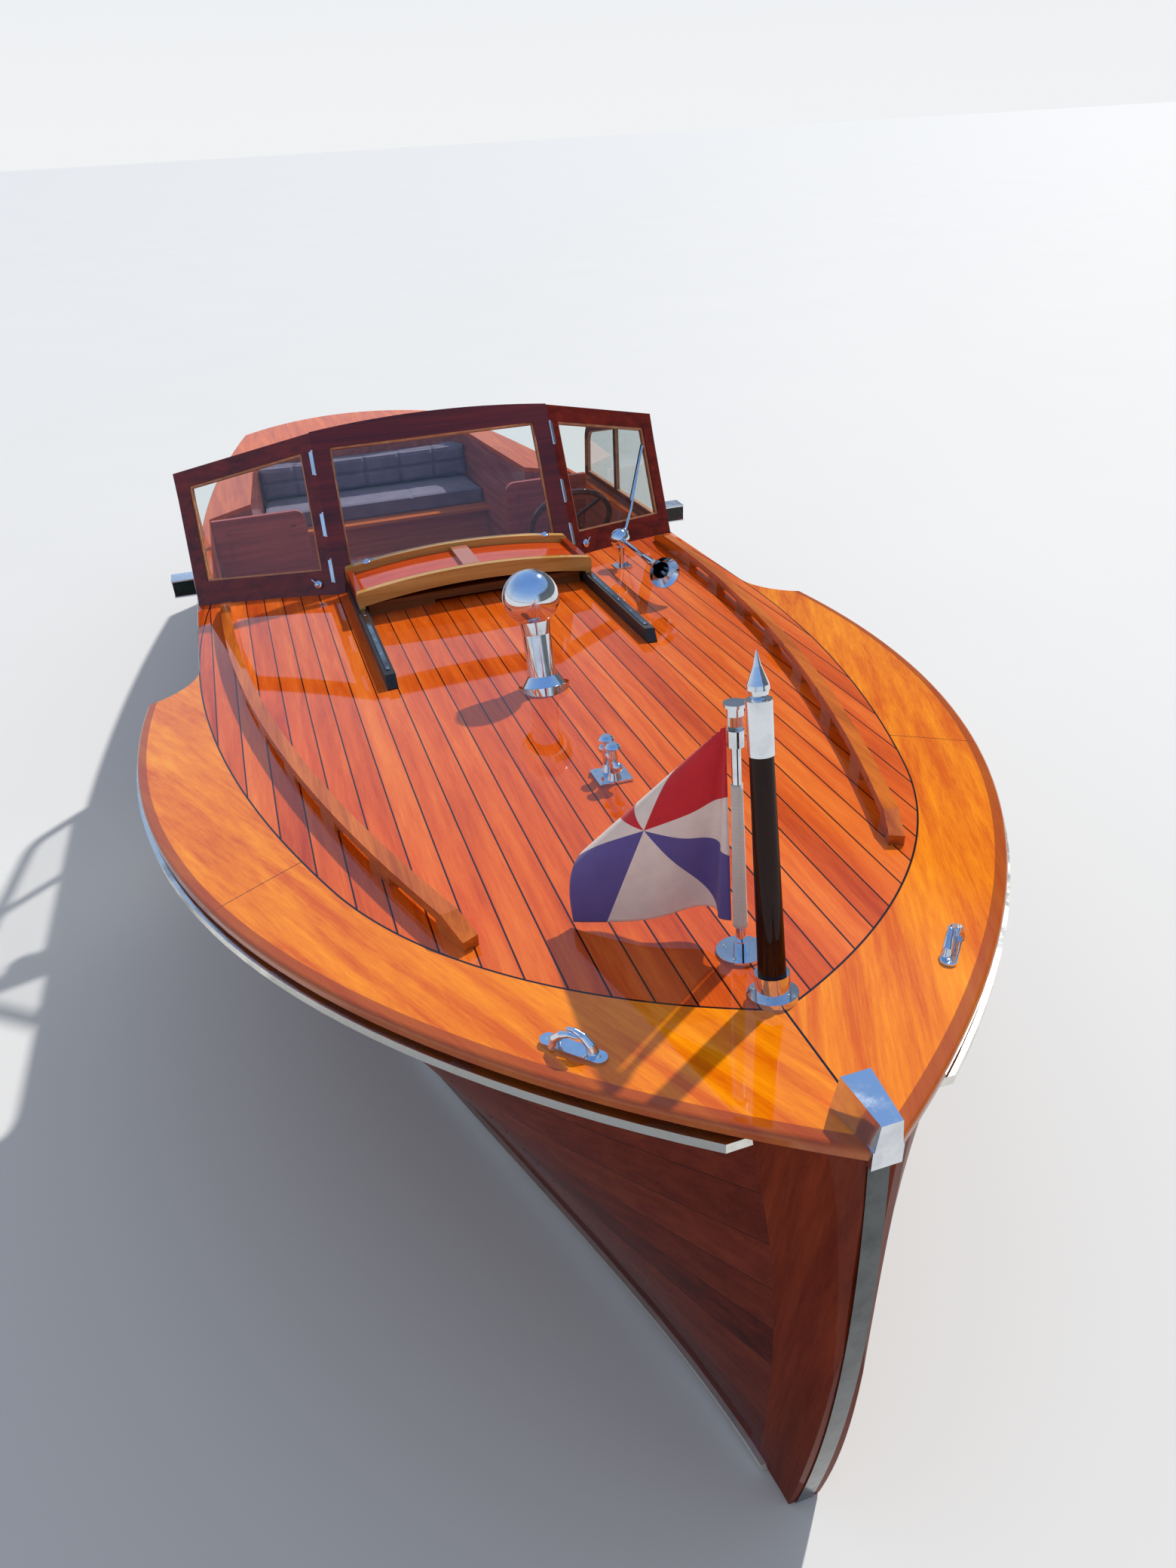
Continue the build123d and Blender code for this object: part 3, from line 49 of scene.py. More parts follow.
eye = Vector((4.095, -0.690, 2.530))
sight = Vector((-0.8141, 0.2427, -0.5276)).normalized()
level = Vector((0.3120, 0.9490, -0.0448)).normalized()
upward = level.cross(sight).normalized()
camera = bpy.data.objects.new("camera", bpy.data.cameras.new("camera"))
camera.matrix_world = Matrix((
    (level.x, upward.x, -sight.x, eye.x),
    (level.y, upward.y, -sight.y, eye.y),
    (level.z, upward.z, -sight.z, eye.z),
    (0, 0, 0, 1)))
camera.data.sensor_width = 36
camera.data.lens = 24.96
camera.data.clip_end = 400
bpy.context.scene.collection.objects.link(camera)
bpy.context.scene.camera = camera
bpy.context.scene.view_settings.view_transform = "Standard"


def put(tree, kind, inputs=(), out=0, **settings):
    """Adds one shader node, sets or links its inputs, and returns one of its outputs."""
    node = tree.nodes.new("ShaderNode" + kind)
    for key, value in settings.items():
        setattr(node, key, value)
    for key, value in dict(inputs).items():
        if isinstance(value, bpy.types.NodeSocket):
            tree.links.new(value, node.inputs[key])
        else:
            node.inputs[key].default_value = value
    return node.outputs[out]


def blended(tree, share, first, second):
    """Mixes two colours: none of the second at a share of 0, and all of it at 1."""
    return put(tree, "Mix", {"Factor": share, "A": first, "B": second}, out="Result", data_type="RGBA")


def colour(red, green, blue):
    """A paint-card colour, 0 to 255 each, as the shader's linear colour."""
    card = [part / 255 for part in (red, green, blue)]
    shades = [part / 12.92 if part < 0.04045 else ((part + 0.055) / 1.055) ** 2.4 for part in card]
    return (*shades, 1.0)


sky = bpy.data.worlds.new("sky")
sky.use_nodes = True
bpy.context.scene.world = sky
tree = sky.node_tree
background = tree.nodes["Background"]
way = tree.nodes.new("ShaderNodeSeparateXYZ")
tree.links.new(put(tree, "TexCoord", out="Generated"), way.inputs[0])
heading = way.outputs["Z"]
dome = put(tree, "ValToRGB", {"Fac": heading})
mirrored_sky = put(tree, "ValToRGB", {"Fac": heading})
for ramp, stops in (
        (dome.node.color_ramp, ((0.0, (0.88, 0.89, 0.90, 1)), (0.9, (0.62, 0.74, 0.90, 1)))),
        (mirrored_sky.node.color_ramp, ((0.0, (0.40, 0.46, 0.55, 1)), (1.0, (0.16, 0.33, 0.72, 1)),
                                        (0.06, (0.66, 0.74, 0.86, 1)), (0.30, (0.42, 0.58, 0.86, 1)),
                                        (0.62, (0.24, 0.43, 0.80, 1))))):
    ramp.elements[0].position, ramp.elements[0].color = stops[0]
    ramp.elements[1].position, ramp.elements[1].color = stops[1]
    for place, shade in stops[2:]:
        ramp.elements.new(place).color = shade
dark_side = put(tree, "MapRange", {"Value": way.outputs["Y"], "From Min": 0.20, "From Max": 0.42})
low_sky = put(tree, "MapRange", {"Value": heading, "From Min": 0.44, "From Max": 0.56, "To Min": 0.85,
                                 "To Max": 0.0})
dark_side = put(tree, "Math", {0: dark_side, 1: low_sky}, operation="MULTIPLY")
upper_half = put(tree, "Math", {0: heading, 1: 0.0}, operation="GREATER_THAN")
dark_side = put(tree, "Math", {0: dark_side, 1: upper_half}, operation="MULTIPLY")
mirrored_sky = blended(tree, dark_side, mirrored_sky, (0.07, 0.075, 0.06, 1))
path = tree.nodes.new("ShaderNodeLightPath")
lit = blended(tree, path.outputs["Is Camera Ray"], (0.40, 0.43, 0.48, 1), dome)
lit = blended(tree, path.outputs["Is Transmission Ray"], lit, dome)
tree.links.new(blended(tree, path.outputs["Is Glossy Ray"], lit, mirrored_sky), background.inputs["Color"])

lamp = bpy.data.objects.new("lamp", bpy.data.lights.new("lamp", "SUN"))
lamp.data.energy = 3.1
lamp.data.angle = radians(1.5)
lamp.data.color = (1.0, 0.95, 0.87)
lamp.rotation_euler = Vector((0.458, -0.536, -0.709)).to_track_quat("-Z", "Y").to_euler()
bpy.context.scene.collection.objects.link(lamp)


def made(name, shape, finish, smooth=None, rides="hull"):
    """Turns a finished bmesh into a piece in its place, shaded smooth below an angle."""
    mesh = bpy.data.meshes.new(name)
    shape.to_mesh(mesh)
    shape.free()
    piece = bpy.data.objects.new(name, mesh)
    bpy.context.scene.collection.objects.link(piece)
    mesh.materials.append(finish)
    if smooth is not None:
        mesh.shade_smooth()
        mesh.set_sharp_from_angle(angle=radians(smooth))
    if rides:
        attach(piece, rides)
    return piece


def new_finish(name):
    finish = bpy.data.materials.new(name)
    finish.use_nodes = True
    return finish, finish.node_tree, finish.node_tree.nodes["Principled BSDF"]


floor_finish, tree, shader = new_finish("pale_floor")
tint = put(tree, "TexNoise", {"Vector": put(tree, "TexCoord", out="Object"), "Scale": 0.7, "Detail": 3})
floor_ramp = put(tree, "ValToRGB", {"Fac": tint})
floor_ramp.node.color_ramp.elements[0].color = (0.735, 0.750, 0.765, 1)
floor_ramp.node.color_ramp.elements[1].color = (0.765, 0.778, 0.790, 1)
tree.links.new(floor_ramp, shader.inputs["Base Color"])
shader.inputs["Roughness"].default_value = 0.75
shape = bmesh.new()
bmesh.ops.create_grid(shape, x_segments=1, y_segments=1, size=120)
made("floor", shape, floor_finish, rides=None)


# Hull planking
# Mahogany planks run fore and aft on sawn frames, fastened, plugged and varnished many times.
# The stem is a redder piece of its own, and the bottom is painted below the waterline.

def shared(name, takes, gives):
    """A shader group that several finishes use, with named inputs and outputs."""
    group = bpy.data.node_groups.new(name, "ShaderNodeTree")
    for label, kind, value in takes:
        socket = group.interface.new_socket(label, in_out="INPUT", socket_type="NodeSocket" + kind)
        socket.default_value = value
    for label, kind in gives:
        group.interface.new_socket(label, in_out="OUTPUT", socket_type="NodeSocket" + kind)
    return group, group.nodes.new("NodeGroupInput").outputs, group.nodes.new("NodeGroupOutput").inputs


def placed(tree, group, inputs):
    """Places a shared group in a finish and returns its outputs."""
    node = tree.nodes.new("ShaderNodeGroup")
    node.node_tree = group
    for key, value in inputs.items():
        if isinstance(value, bpy.types.NodeSocket):
            tree.links.new(value, node.inputs[key])
        else:
            node.inputs[key].default_value = value
    return node.outputs


def reckon(tree, operation, first, second=0.0, clamp=False):
    return put(tree, "Math", {0: first, 1: second}, operation=operation, use_clamp=clamp)


def stretched(tree, place, along, across):
    """The place scaled so that a pattern is long along X and narrow across it."""
    return put(tree, "VectorMath", {0: place, 1: (along, across, across)}, operation="MULTIPLY")


wood_grain, take, give = shared("wood_grain", [("Place", "Vector", (0, 0, 0)), ("Board", "Float", 0.0),
                                               ("Contrast", "Float", 1.0),
                                               ("Dark", "Color", (0, 0, 0, 1)),
                                               ("Middle", "Color", (0.5, 0.5, 0.5, 1)),
                                               ("Pale", "Color", (1, 1, 1, 1))],
                                [("Color", "Color"), ("Roughness", "Float"), ("Height", "Float")])
shift = put(wood_grain, "CombineXYZ", {
    "X": reckon(wood_grain, "MULTIPLY", take["Board"], 9.0),
    "Y": reckon(wood_grain, "MULTIPLY", take["Board"], 3.7),
    "Z": reckon(wood_grain, "MULTIPLY", take["Board"], 5.1)})
place = put(wood_grain, "VectorMath", {0: take["Place"], 1: shift}, operation="ADD")
streaks = put(wood_grain, "TexNoise", {"Vector": stretched(wood_grain, place, 1.1, 26), "Scale": 1.0,
                                       "Detail": 6, "Roughness": 0.6, "Distortion": 0.35})
fibres = put(wood_grain, "TexNoise", {"Vector": stretched(wood_grain, place, 5, 210), "Scale": 1.0,
                                      "Detail": 3, "Roughness": 0.6})
clouds = put(wood_grain, "TexNoise", {"Vector": stretched(wood_grain, place, 0.8, 3.5), "Scale": 1.0,
                                      "Detail": 2})
pores = put(wood_grain, "TexNoise", {"Vector": stretched(wood_grain, place, 42, 900), "Scale": 1.0,
                                     "Detail": 1})
pores = put(wood_grain, "MapRange", {"Value": pores, "From Min": 0.60, "From Max": 0.72},
            interpolation_type="SMOOTHSTEP")
tone = reckon(wood_grain, "ADD", reckon(wood_grain, "MULTIPLY", streaks, 0.60),
              reckon(wood_grain, "MULTIPLY", fibres, 0.22))
tone = reckon(wood_grain, "ADD", tone, reckon(wood_grain, "MULTIPLY", clouds, 0.18))
tone = reckon(wood_grain, "SUBTRACT", tone, 0.5)
tone = reckon(wood_grain, "MULTIPLY", tone, reckon(wood_grain, "MULTIPLY", take["Contrast"], 2.6))
tone = reckon(wood_grain, "ADD", tone, 0.5)
board_tone = reckon(wood_grain, "MULTIPLY", reckon(wood_grain, "SUBTRACT", take["Board"], 0.5), 0.42)
tone = reckon(wood_grain, "ADD", tone, board_tone)
tone = reckon(wood_grain, "SUBTRACT", tone, reckon(wood_grain, "MULTIPLY", pores, 0.16), clamp=True)
low_half = reckon(wood_grain, "MULTIPLY", tone, 2.0, clamp=True)
high_half = reckon(wood_grain, "SUBTRACT", reckon(wood_grain, "MULTIPLY", tone, 2.0), 1.0, clamp=True)
wood = blended(wood_grain, low_half, take["Dark"], take["Middle"])
wood = blended(wood_grain, high_half, wood, take["Pale"])
wood_grain.links.new(wood, give["Color"])
dull = put(wood_grain, "TexNoise", {"Vector": take["Place"], "Scale": 7.0, "Detail": 4, "Roughness": 0.7})
wood_grain.links.new(put(wood_grain, "MapRange", {"Value": dull, "From Min": 0.3, "From Max": 0.75,
                                                  "To Min": 0.20, "To Max": 0.38}), give["Roughness"])
sag = put(wood_grain, "TexNoise", {"Vector": take["Place"], "Scale": 16.0, "Detail": 2})
height = reckon(wood_grain, "MULTIPLY", sag, 0.5)
height = reckon(wood_grain, "ADD", height, reckon(wood_grain, "MULTIPLY", fibres, 0.25))
wood_grain.links.new(reckon(wood_grain, "SUBTRACT", height, reckon(wood_grain, "MULTIPLY", pores, 0.25)),
                     give["Height"])

boards, take, give = shared(
    "boards",
    [("Across", "Float", 0.0), ("Seam", "Float", 0.04)],
    [("Board", "Float"), ("Seam", "Float")])
number = reckon(boards, "FLOOR", take["Across"])
boards.links.new(put(boards, "TexWhiteNoise", {"W": number}, noise_dimensions="1D"), give["Board"])
inside = reckon(boards, "FRACT", take["Across"])
to_edge = reckon(boards, "MINIMUM", inside, reckon(boards, "SUBTRACT", 1.0, inside))
boards.links.new(put(boards, "MapRange", {"Value": to_edge,
                                          "From Min": reckon(boards, "MULTIPLY", take["Seam"], 0.35),
                                          "From Max": take["Seam"], "To Min": 1.0, "To Max": 0.0}),
                 give["Seam"])

SEAM_BLACK = colour(24, 17, 15)


def varnished(name, dark, middle, pale, turn=0, tip=0, contrast=1.0, coat=1.0, bump=0.05, planks=None,
              seams=None, seam_colour=SEAM_BLACK, seam_width=0.04, coat_ior=1.5, edge=None):
    """Varnished wood whose grain runs along X, turned about Z or tipped about Y. Planks gives the place
    across in board widths, and seams gives more dark lines as a mask."""
    finish, tree, shader = new_finish(name)
    spot = put(tree, "TexCoord", out="Object")
    place = put(tree, "Mapping", {"Vector": spot, "Rotation": (0, radians(tip), radians(turn))})
    inputs = {"Place": place, "Contrast": contrast, "Dark": colour(*dark), "Middle": colour(*middle),
              "Pale": colour(*pale)}
    line = None
    if planks:
        board = placed(tree, boards, {"Across": planks(tree, spot), "Seam": seam_width})
        inputs["Board"] = board["Board"]
        line = board["Seam"]
    if seams:
        more = seams(tree, spot)
        line = reckon(tree, "MAXIMUM", line, more) if line else more
    wood = placed(tree, wood_grain, inputs)
    shade, height = wood["Color"], wood["Height"]
    if line:
        shade = blended(tree, line, shade, seam_colour)
        height = reckon(tree, "SUBTRACT", height, reckon(tree, "MULTIPLY", line, 0.8))
    if edge:
        # Where an edge mask is given, a darker brown is laid along it as painted shade.
        shade = blended(tree, edge(tree, spot), shade, colour(150, 62, 22))
    tree.links.new(shade, shader.inputs["Base Color"])
    tree.links.new(wood["Roughness"], shader.inputs["Roughness"])
    tree.links.new(put(tree, "Bump", {"Height": height, "Strength": bump, "Distance": 0.002}),
                   shader.inputs["Normal"])
    shader.inputs["Coat Weight"].default_value = coat
    shader.inputs["Coat Roughness"].default_value = 0.035
    shader.inputs["Coat IOR"].default_value = coat_ior
    shader.inputs["Specular IOR Level"].default_value = 0.0
    return finish


def coated(finish, *names):
    """Gives CAD nodes their finish."""
    for name in names:
        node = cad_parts[name]
        node.data.materials.clear()
        node.data.materials.append(finish)


def parts_of(tree, spot):
    node = tree.nodes.new("ShaderNodeSeparateXYZ")
    tree.links.new(spot, node.inputs[0])
    return node.outputs


plank_count = 9
side_height, side_rise, chine_depth = 1.10, 0.035, 0.03


def topside_planks(tree, spot):
    """Counts planks up from the chine to the sheer, which rises towards the bow."""
    x, y, z = parts_of(tree, spot)
    sheer = reckon(tree, "ADD", side_height, reckon(tree, "MULTIPLY", x, side_rise))
    share = reckon(tree, "DIVIDE", reckon(tree, "ADD", z, chine_depth), sheer)
    return reckon(tree, "MULTIPLY", share, plank_count)


topside_varnish = varnished("topside_varnish", (62, 16, 8), (98, 34, 20), (124, 52, 30), contrast=0.7,
                            coat=0.35, coat_ior=1.35, planks=topside_planks, seam_width=0.012,
                            seam_colour=colour(38, 12, 8))
stem_varnish = varnished("stem_varnish", (92, 30, 14), (128, 50, 26), (152, 72, 42), tip=80, contrast=0.8,
                         coat=0.3, coat_ior=1.35)
coated(topside_varnish, "topsides_port", "topsides_starboard")
coated(stem_varnish, "stem")
transom_varnish = varnished("transom_varnish", (62, 16, 8), (98, 34, 20), (124, 52, 30), turn=90,
                            contrast=0.8, coat=0.35, coat_ior=1.35, planks=topside_planks,
                            seam_width=0.012, seam_colour=colour(45, 18, 12))
coated(transom_varnish, "transom")

shape = bmesh.new()
for side, name in ((1, "topsides_port"), (-1, "topsides_starboard")):
    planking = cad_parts[name]
    for station in range(17):
        x = 2.50 - 0.30 * station
        for plank in range(plank_count):
            for lift in (0.27, 0.73):
                z = (plank + lift) / plank_count * (side_height + side_rise * x) - chine_depth
                found, spot, facing, face = planking.ray_cast(Vector((x, side * 3, z)), Vector((0, -side, 0)))
                if found and z > 0.02:
                    turn = facing.to_track_quat("Z", "Y").to_matrix().to_4x4()
                    bmesh.ops.create_cone(shape, cap_ends=True, segments=10, radius1=0.0046,
                                          radius2=0.0042, depth=0.0008,
                                          matrix=Matrix.Translation(spot) @ turn)
made("plank_plugs", shape, varnished("plug_varnish", (40, 10, 7), (66, 22, 14), (92, 38, 24), coat=0.35,
                                     coat_ior=1.35))

paint_wear, take, give = shared("paint_wear", [("Place", "Vector", (0, 0, 0)),
                                               ("Fresh", "Color", (0.5, 0.5, 0.5, 1)),
                                               ("Worn", "Color", (0.5, 0.5, 0.5, 1))],
                                [("Color", "Color"), ("Roughness", "Float"), ("Height", "Float")])
mottle = put(paint_wear, "TexNoise", {"Vector": take["Place"], "Scale": 5.0, "Detail": 7, "Roughness": 0.65})
worn = put(paint_wear, "MapRange", {"Value": mottle, "From Min": 0.42, "From Max": 0.70})
paint_wear.links.new(blended(paint_wear, worn, take["Fresh"], take["Worn"]), give["Color"])
paint_wear.links.new(put(paint_wear, "MapRange", {"Value": mottle, "From Min": 0.3, "From Max": 0.7,
                                                  "To Min": 0.42, "To Max": 0.62}), give["Roughness"])
paint_wear.links.new(put(paint_wear, "TexNoise", {"Vector": take["Place"], "Scale": 220.0, "Detail": 2}),
                     give["Height"])


def painted(name, fresh, worn, bump=0.08):
    finish, tree, shader = new_finish(name)
    look = placed(tree, paint_wear, {"Place": put(tree, "TexCoord", out="Object"), "Fresh": colour(*fresh),
                                     "Worn": colour(*worn)})
    tree.links.new(look["Color"], shader.inputs["Base Color"])
    tree.links.new(look["Roughness"], shader.inputs["Roughness"])
    tree.links.new(put(tree, "Bump", {"Height": look["Height"], "Strength": bump, "Distance": 0.001}),
                   shader.inputs["Normal"])
    return finish


coated(painted("bottom_paint", (104, 30, 26), (88, 34, 30)), "hull_bottom", "keel")


# Metal on the hull
# A polished band covers the stem's face and a cap its head; half-round strips guard the sheer and chines.
# All are bent cold and screwed on, and polished in place.

metal_marks, take, give = shared(
    "metal_marks", [("Place", "Vector", (0, 0, 0)), ("Smooth", "Float", 0.05), ("Marked", "Float", 0.2),
                    ("Bright", "Color", (1, 1, 1, 1)), ("Dull", "Color", (0.5, 0.5, 0.5, 1))],
    [("Color", "Color"), ("Roughness", "Float"), ("Height", "Float")])
film = put(metal_marks, "TexNoise", {"Vector": take["Place"], "Scale": 14.0, "Detail": 6, "Roughness": 0.7})
film = put(metal_marks, "MapRange", {"Value": film, "From Min": 0.45, "From Max": 0.80})
metal_marks.links.new(blended(metal_marks, film, take["Bright"], take["Dull"]), give["Color"])
metal_marks.links.new(put(metal_marks, "MapRange", {"Value": film, "To Min": take["Smooth"],
                                                    "To Max": take["Marked"]}), give["Roughness"])
metal_marks.links.new(put(metal_marks, "TexNoise", {"Vector": take["Place"], "Scale": 60.0, "Detail": 2}),
                      give["Height"])


def metal(name, bright, dull, smooth=0.05, marked=0.2, bump=0.02, metallic=1.0):
    finish, tree, shader = new_finish(name)
    look = placed(tree, metal_marks, {"Place": put(tree, "TexCoord", out="Object"), "Smooth": smooth,
                                      "Marked": marked, "Bright": colour(*bright), "Dull": colour(*dull)})
    tree.links.new(look["Color"], shader.inputs["Base Color"])
    tree.links.new(look["Roughness"], shader.inputs["Roughness"])
    tree.links.new(put(tree, "Bump", {"Height": look["Height"], "Strength": bump, "Distance": 0.001}),
                   shader.inputs["Normal"])
    shader.inputs["Metallic"].default_value = metallic
    return finish


chrome = metal("chrome", (226, 229, 233), (188, 192, 198))
band_metal = metal("band_metal", (150, 152, 152), (104, 106, 106), smooth=0.12, marked=0.3)
strip_metal = metal("strip_metal", (228, 226, 218), (176, 172, 162), smooth=0.18, marked=0.4)
coated(chrome, "stem_cap")
# The stem band's metal is a dark grey that stands in for the dark water it mirrors: painted reflection.
coated(metal("stem_metal_painted_dark_reflection", (92, 95, 96), (58, 60, 60), smooth=0.14, marked=0.3), "stem_band")
coated(strip_metal, "rub_strips")
coated(metal("chine_metal", (240, 238, 230), (206, 202, 192), smooth=0.3, marked=0.5, metallic=0.6),
       "chine_strips")


# Foredeck
# Narrow straight planks run fore and aft with black caulked seams between them, under clear varnish.
# A curved seam closes them against the covering boards.

plank_width = 0.065
seam_knuckle = (2.160, 0.690)
seam_front_x = 2.880
seam_aft = (0.660, 0.955)


def seam_arcs():
    """Centres and radii of the covering board's two seam arcs on the port side."""
    (kx, ky), (ax, ay) = seam_knuckle, seam_aft
    drop, along = ay - ky, kx - ax
    aft_radius = (along ** 2 + drop ** 2) / (2 * drop)
    lean = atan2(along / aft_radius, sqrt(1 - (along / aft_radius) ** 2))
    chord = sqrt((seam_front_x - kx) ** 2 + ky ** 2)
    front_radius = chord / (2 * sin(atan2(ky, seam_front_x - kx) - lean))
    return [(ax, ay - aft_radius, aft_radius, -9.0, kx),
            (kx - front_radius * sin(lean), ky - front_radius * cos(lean), front_radius, kx, 9.0)]


def reach_from(tree, dx, dy):
    squares = [reckon(tree, "MULTIPLY", leg, leg) for leg in (dx, dy)]
    return reckon(tree, "SQRT", reckon(tree, "ADD", *squares))


def curved_seam(tree, spot, half=0.0022):
    """A dark line along the seam arcs, as a mask."""
    x, y, z = parts_of(tree, spot)
    y = reckon(tree, "ABSOLUTE", y)
    line = None
    for cx, cy, radius, start, end in seam_arcs():
        dx, dy = reckon(tree, "SUBTRACT", x, cx), reckon(tree, "SUBTRACT", y, cy)
        reach = reach_from(tree, dx, dy)
        off = reckon(tree, "ABSOLUTE", reckon(tree, "SUBTRACT", reach, radius))
        near = put(tree, "MapRange", {"Value": off, "From Min": half * 0.7, "From Max": half * 1.3,
                                      "To Min": 1.0, "To Max": 0.0})
        near = reckon(tree, "MULTIPLY", near, reckon(tree, "GREATER_THAN", x, start))
        near = reckon(tree, "MULTIPLY", near, reckon(tree, "LESS_THAN", x, end))
        line = reckon(tree, "MAXIMUM", line, near) if line else near
    return line


def deck_plank_count(tree, spot):
    x, y, z = parts_of(tree, spot)
    return reckon(tree, "DIVIDE", y, plank_width)


coated(varnished("foredeck_varnish", (180, 62, 10), (220, 96, 24), (242, 130, 46), contrast=0.9,
                 planks=deck_plank_count, seams=curved_seam, seam_width=0.042,
                 seam_colour=colour(14, 10, 9)), "foredeck")


# Covering boards and side decks
# Wide boards of paler mahogany are sawn to the deck's edge and scarfed halfway along the foredeck.
# They meet on the centreline at the bow.

scarf_in = (2.014, 0.756)
scarf_out = (2.083, 0.911)


def board_seams(tree, spot, half=0.0011):
    """The centre seam at the bow, the scarf and the curved inner seam, as a mask."""
    x, y, z = parts_of(tree, spot)
    side = reckon(tree, "ABSOLUTE", y)
    middle = reckon(tree, "LESS_THAN", side, 0.0022)
    (x0, y0), (x1, y1) = scarf_in, scarf_out
    length = sqrt((x1 - x0) ** 2 + (y1 - y0) ** 2)
    nx, ny = (y1 - y0) / length, -(x1 - x0) / length
    off = reckon(tree, "ADD", reckon(tree, "MULTIPLY", x, nx), reckon(tree, "MULTIPLY", side, ny))
    off = reckon(tree, "ABSOLUTE", reckon(tree, "SUBTRACT", off, x0 * nx + y0 * ny))
    scarf = reckon(tree, "LESS_THAN", off, half)
    return reckon(tree, "MAXIMUM", reckon(tree, "MAXIMUM", middle, scarf), curved_seam(tree, spot))


wing_half, wing_x, nose_half, nose_x = 1.135, 1.150, 0.024, 3.200


def edge_rounding_shade(tree, spot, width=0.026):
    """A band of painted shade along the foredeck's moulded outer edge, standing in for its unmodelled
    rounding, as a mask that follows its one long arc.
    """
    x, y, z = parts_of(tree, spot)
    across, along = wing_half - nose_half, nose_x - wing_x
    radius = (across ** 2 + along ** 2) / (2 * across)
    dx = reckon(tree, "SUBTRACT", x, wing_x)
    dy = reckon(tree, "SUBTRACT", reckon(tree, "ABSOLUTE", y), wing_half - radius)
    reach = reach_from(tree, dx, dy)
    return put(tree, "MapRange", {"Value": reach, "From Min": radius - width - 0.0015,
                                  "From Max": radius - width, "To Max": 0.75})


board_shades = ((216, 96, 2), (250, 146, 6), (255, 184, 44))
for side, turn in (("port", 1), ("starboard", -1)):
    coated(varnished("board_varnish_" + side, *board_shades, turn=turn * 24, contrast=1.0, seams=board_seams,
                     edge=edge_rounding_shade), "covering_board_" + side)
coated(varnished("side_deck_varnish", (192, 74, 6), (232, 110, 14), (250, 142, 36), contrast=1.0,
                 coat=0.6), "side_decks")


# Cockpit
# Mahogany lines the sides, coloured plum-brown: lighter than the wood and pinked, as painted light and
# painted sky reflection in the shaded cockpit; the sole is of plain boards.
# The bench, the seats, the bulkhead and the engine's box are of the same stock.

# The lining, bulkhead and seat colours are lightened and pinked beyond the wood's own colour, as painted
# light and painted sky reflection for the shaded cockpit.
lining_varnish_painted_light = varnished("lining_varnish_painted_light", (140, 66, 50), (190, 104, 82), (220, 138, 112), contrast=0.9,
                           coat=0.6)
seat_varnish_painted_light = varnished("seat_varnish_painted_light", (156, 66, 54), (202, 100, 84), (226, 132, 110), turn=90,
                         contrast=0.9, coat=0.6)
box_varnish = varnished("box_varnish", (76, 32, 26), (116, 56, 44), (146, 80, 64), contrast=0.9, coat=0.6)
bench_varnish = varnished("bench_varnish", (176, 84, 34), (222, 122, 54), (244, 158, 88), turn=90,
                          contrast=0.8, coat=0.6)
coated(lining_varnish_painted_light, "cockpit_lining")
coated(varnished("bulkhead_varnish_painted_light", (140, 66, 50), (190, 104, 82), (220, 138, 112), turn=90,
                 contrast=0.9, coat=0.6), "bulkhead", "helm_console")
coated(seat_varnish_painted_light, "forward_seats")
coated(box_varnish, "engine_box", "engine_lid")
coated(bench_varnish, "bench")


def node_copy(name):
    """A merged copy of a CAD node's mesh, with its flat faces joined."""
    shape = bmesh.new()
    shape.from_mesh(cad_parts[name].data)
    bmesh.ops.remove_doubles(shape, verts=shape.verts, dist=0.0001)
    bmesh.ops.dissolve_limit(shape, angle_limit=radians(2), verts=shape.verts, edges=shape.edges)
    return shape


moulding, inset = 0.014, 0.06
shape = node_copy("forward_seats")
backs = [face for face in shape.faces if abs(face.normal.x) > 0.98 and face.calc_area() > 0.1]
panels = []
for face in backs:
    places = [v.co for v in face.verts]
    panels.append((face.calc_center_median().x + face.normal.x * 0.002,
                   [(min(c) + inset, max(c) - inset) for c in ([p.y for p in places],
                                                               [p.z for p in places])]))
shape.clear()
for x, ((y0, y1), (z0, z1)) in panels:
    middle_y, middle_z = (y0 + y1) / 2, (z0 + z1) / 2
    sides = [(y, middle_z, moulding, z1 - z0) for y in (y0, y1)]
    ends = [(middle_y, z, y1 - y0 + moulding, moulding) for z in (z0, z1)]
    for y, z, wide, tall in sides + ends:
        size = Matrix.Diagonal((0.006, wide, tall, 1))
        bmesh.ops.create_cube(shape, size=1, matrix=Matrix.Translation((x, y, z)) @ size)
made("seat_back_mouldings", shape, seat_varnish_painted_light)


def sole_board_count(tree, spot):
    x, y, z = parts_of(tree, spot)
    return reckon(tree, "DIVIDE", y, 0.09)


coated(varnished("sole_varnish", (110, 62, 38), (150, 92, 58), (180, 122, 84), contrast=0.8,
                 planks=sole_board_count, seam_width=0.03), "cockpit_sole", "engine_beds")


# Machinery
# A small inboard engine on beds drives a bronze propeller through a steel shaft and a strut.
# The rudder is a bronze plate on a stock in its tube.

bronze = metal("bronze", (186, 142, 84), (122, 98, 62), smooth=0.22, marked=0.45, bump=0.05)
shaft_steel = metal("shaft_steel", (176, 180, 186), (128, 130, 136), smooth=0.12, marked=0.3)
coated(bronze, "propeller", "shaft_bearings", "rudder")
coated(shaft_steel, "propeller_shaft")
coated(painted("engine_enamel", (58, 104, 84), (40, 74, 60)), "engine")


# Windscreen and side windows
# Three varnished frames are mitred on their posts and hold flat glass in pale beads.
# The outer frames hang on chrome hinges, and a low window with one mullion stands behind each.

frame_varnish = varnished("frame_varnish", (74, 16, 12), (122, 34, 22), (156, 58, 34), turn=90,
                          contrast=0.9, coat=0.9)
coated(frame_varnish, "windscreen_centre_frame", "windscreen_wings")
coated(varnished("window_varnish", (84, 34, 22), (124, 58, 38), (156, 84, 58), contrast=0.9, coat=0.6),
       "side_windows")


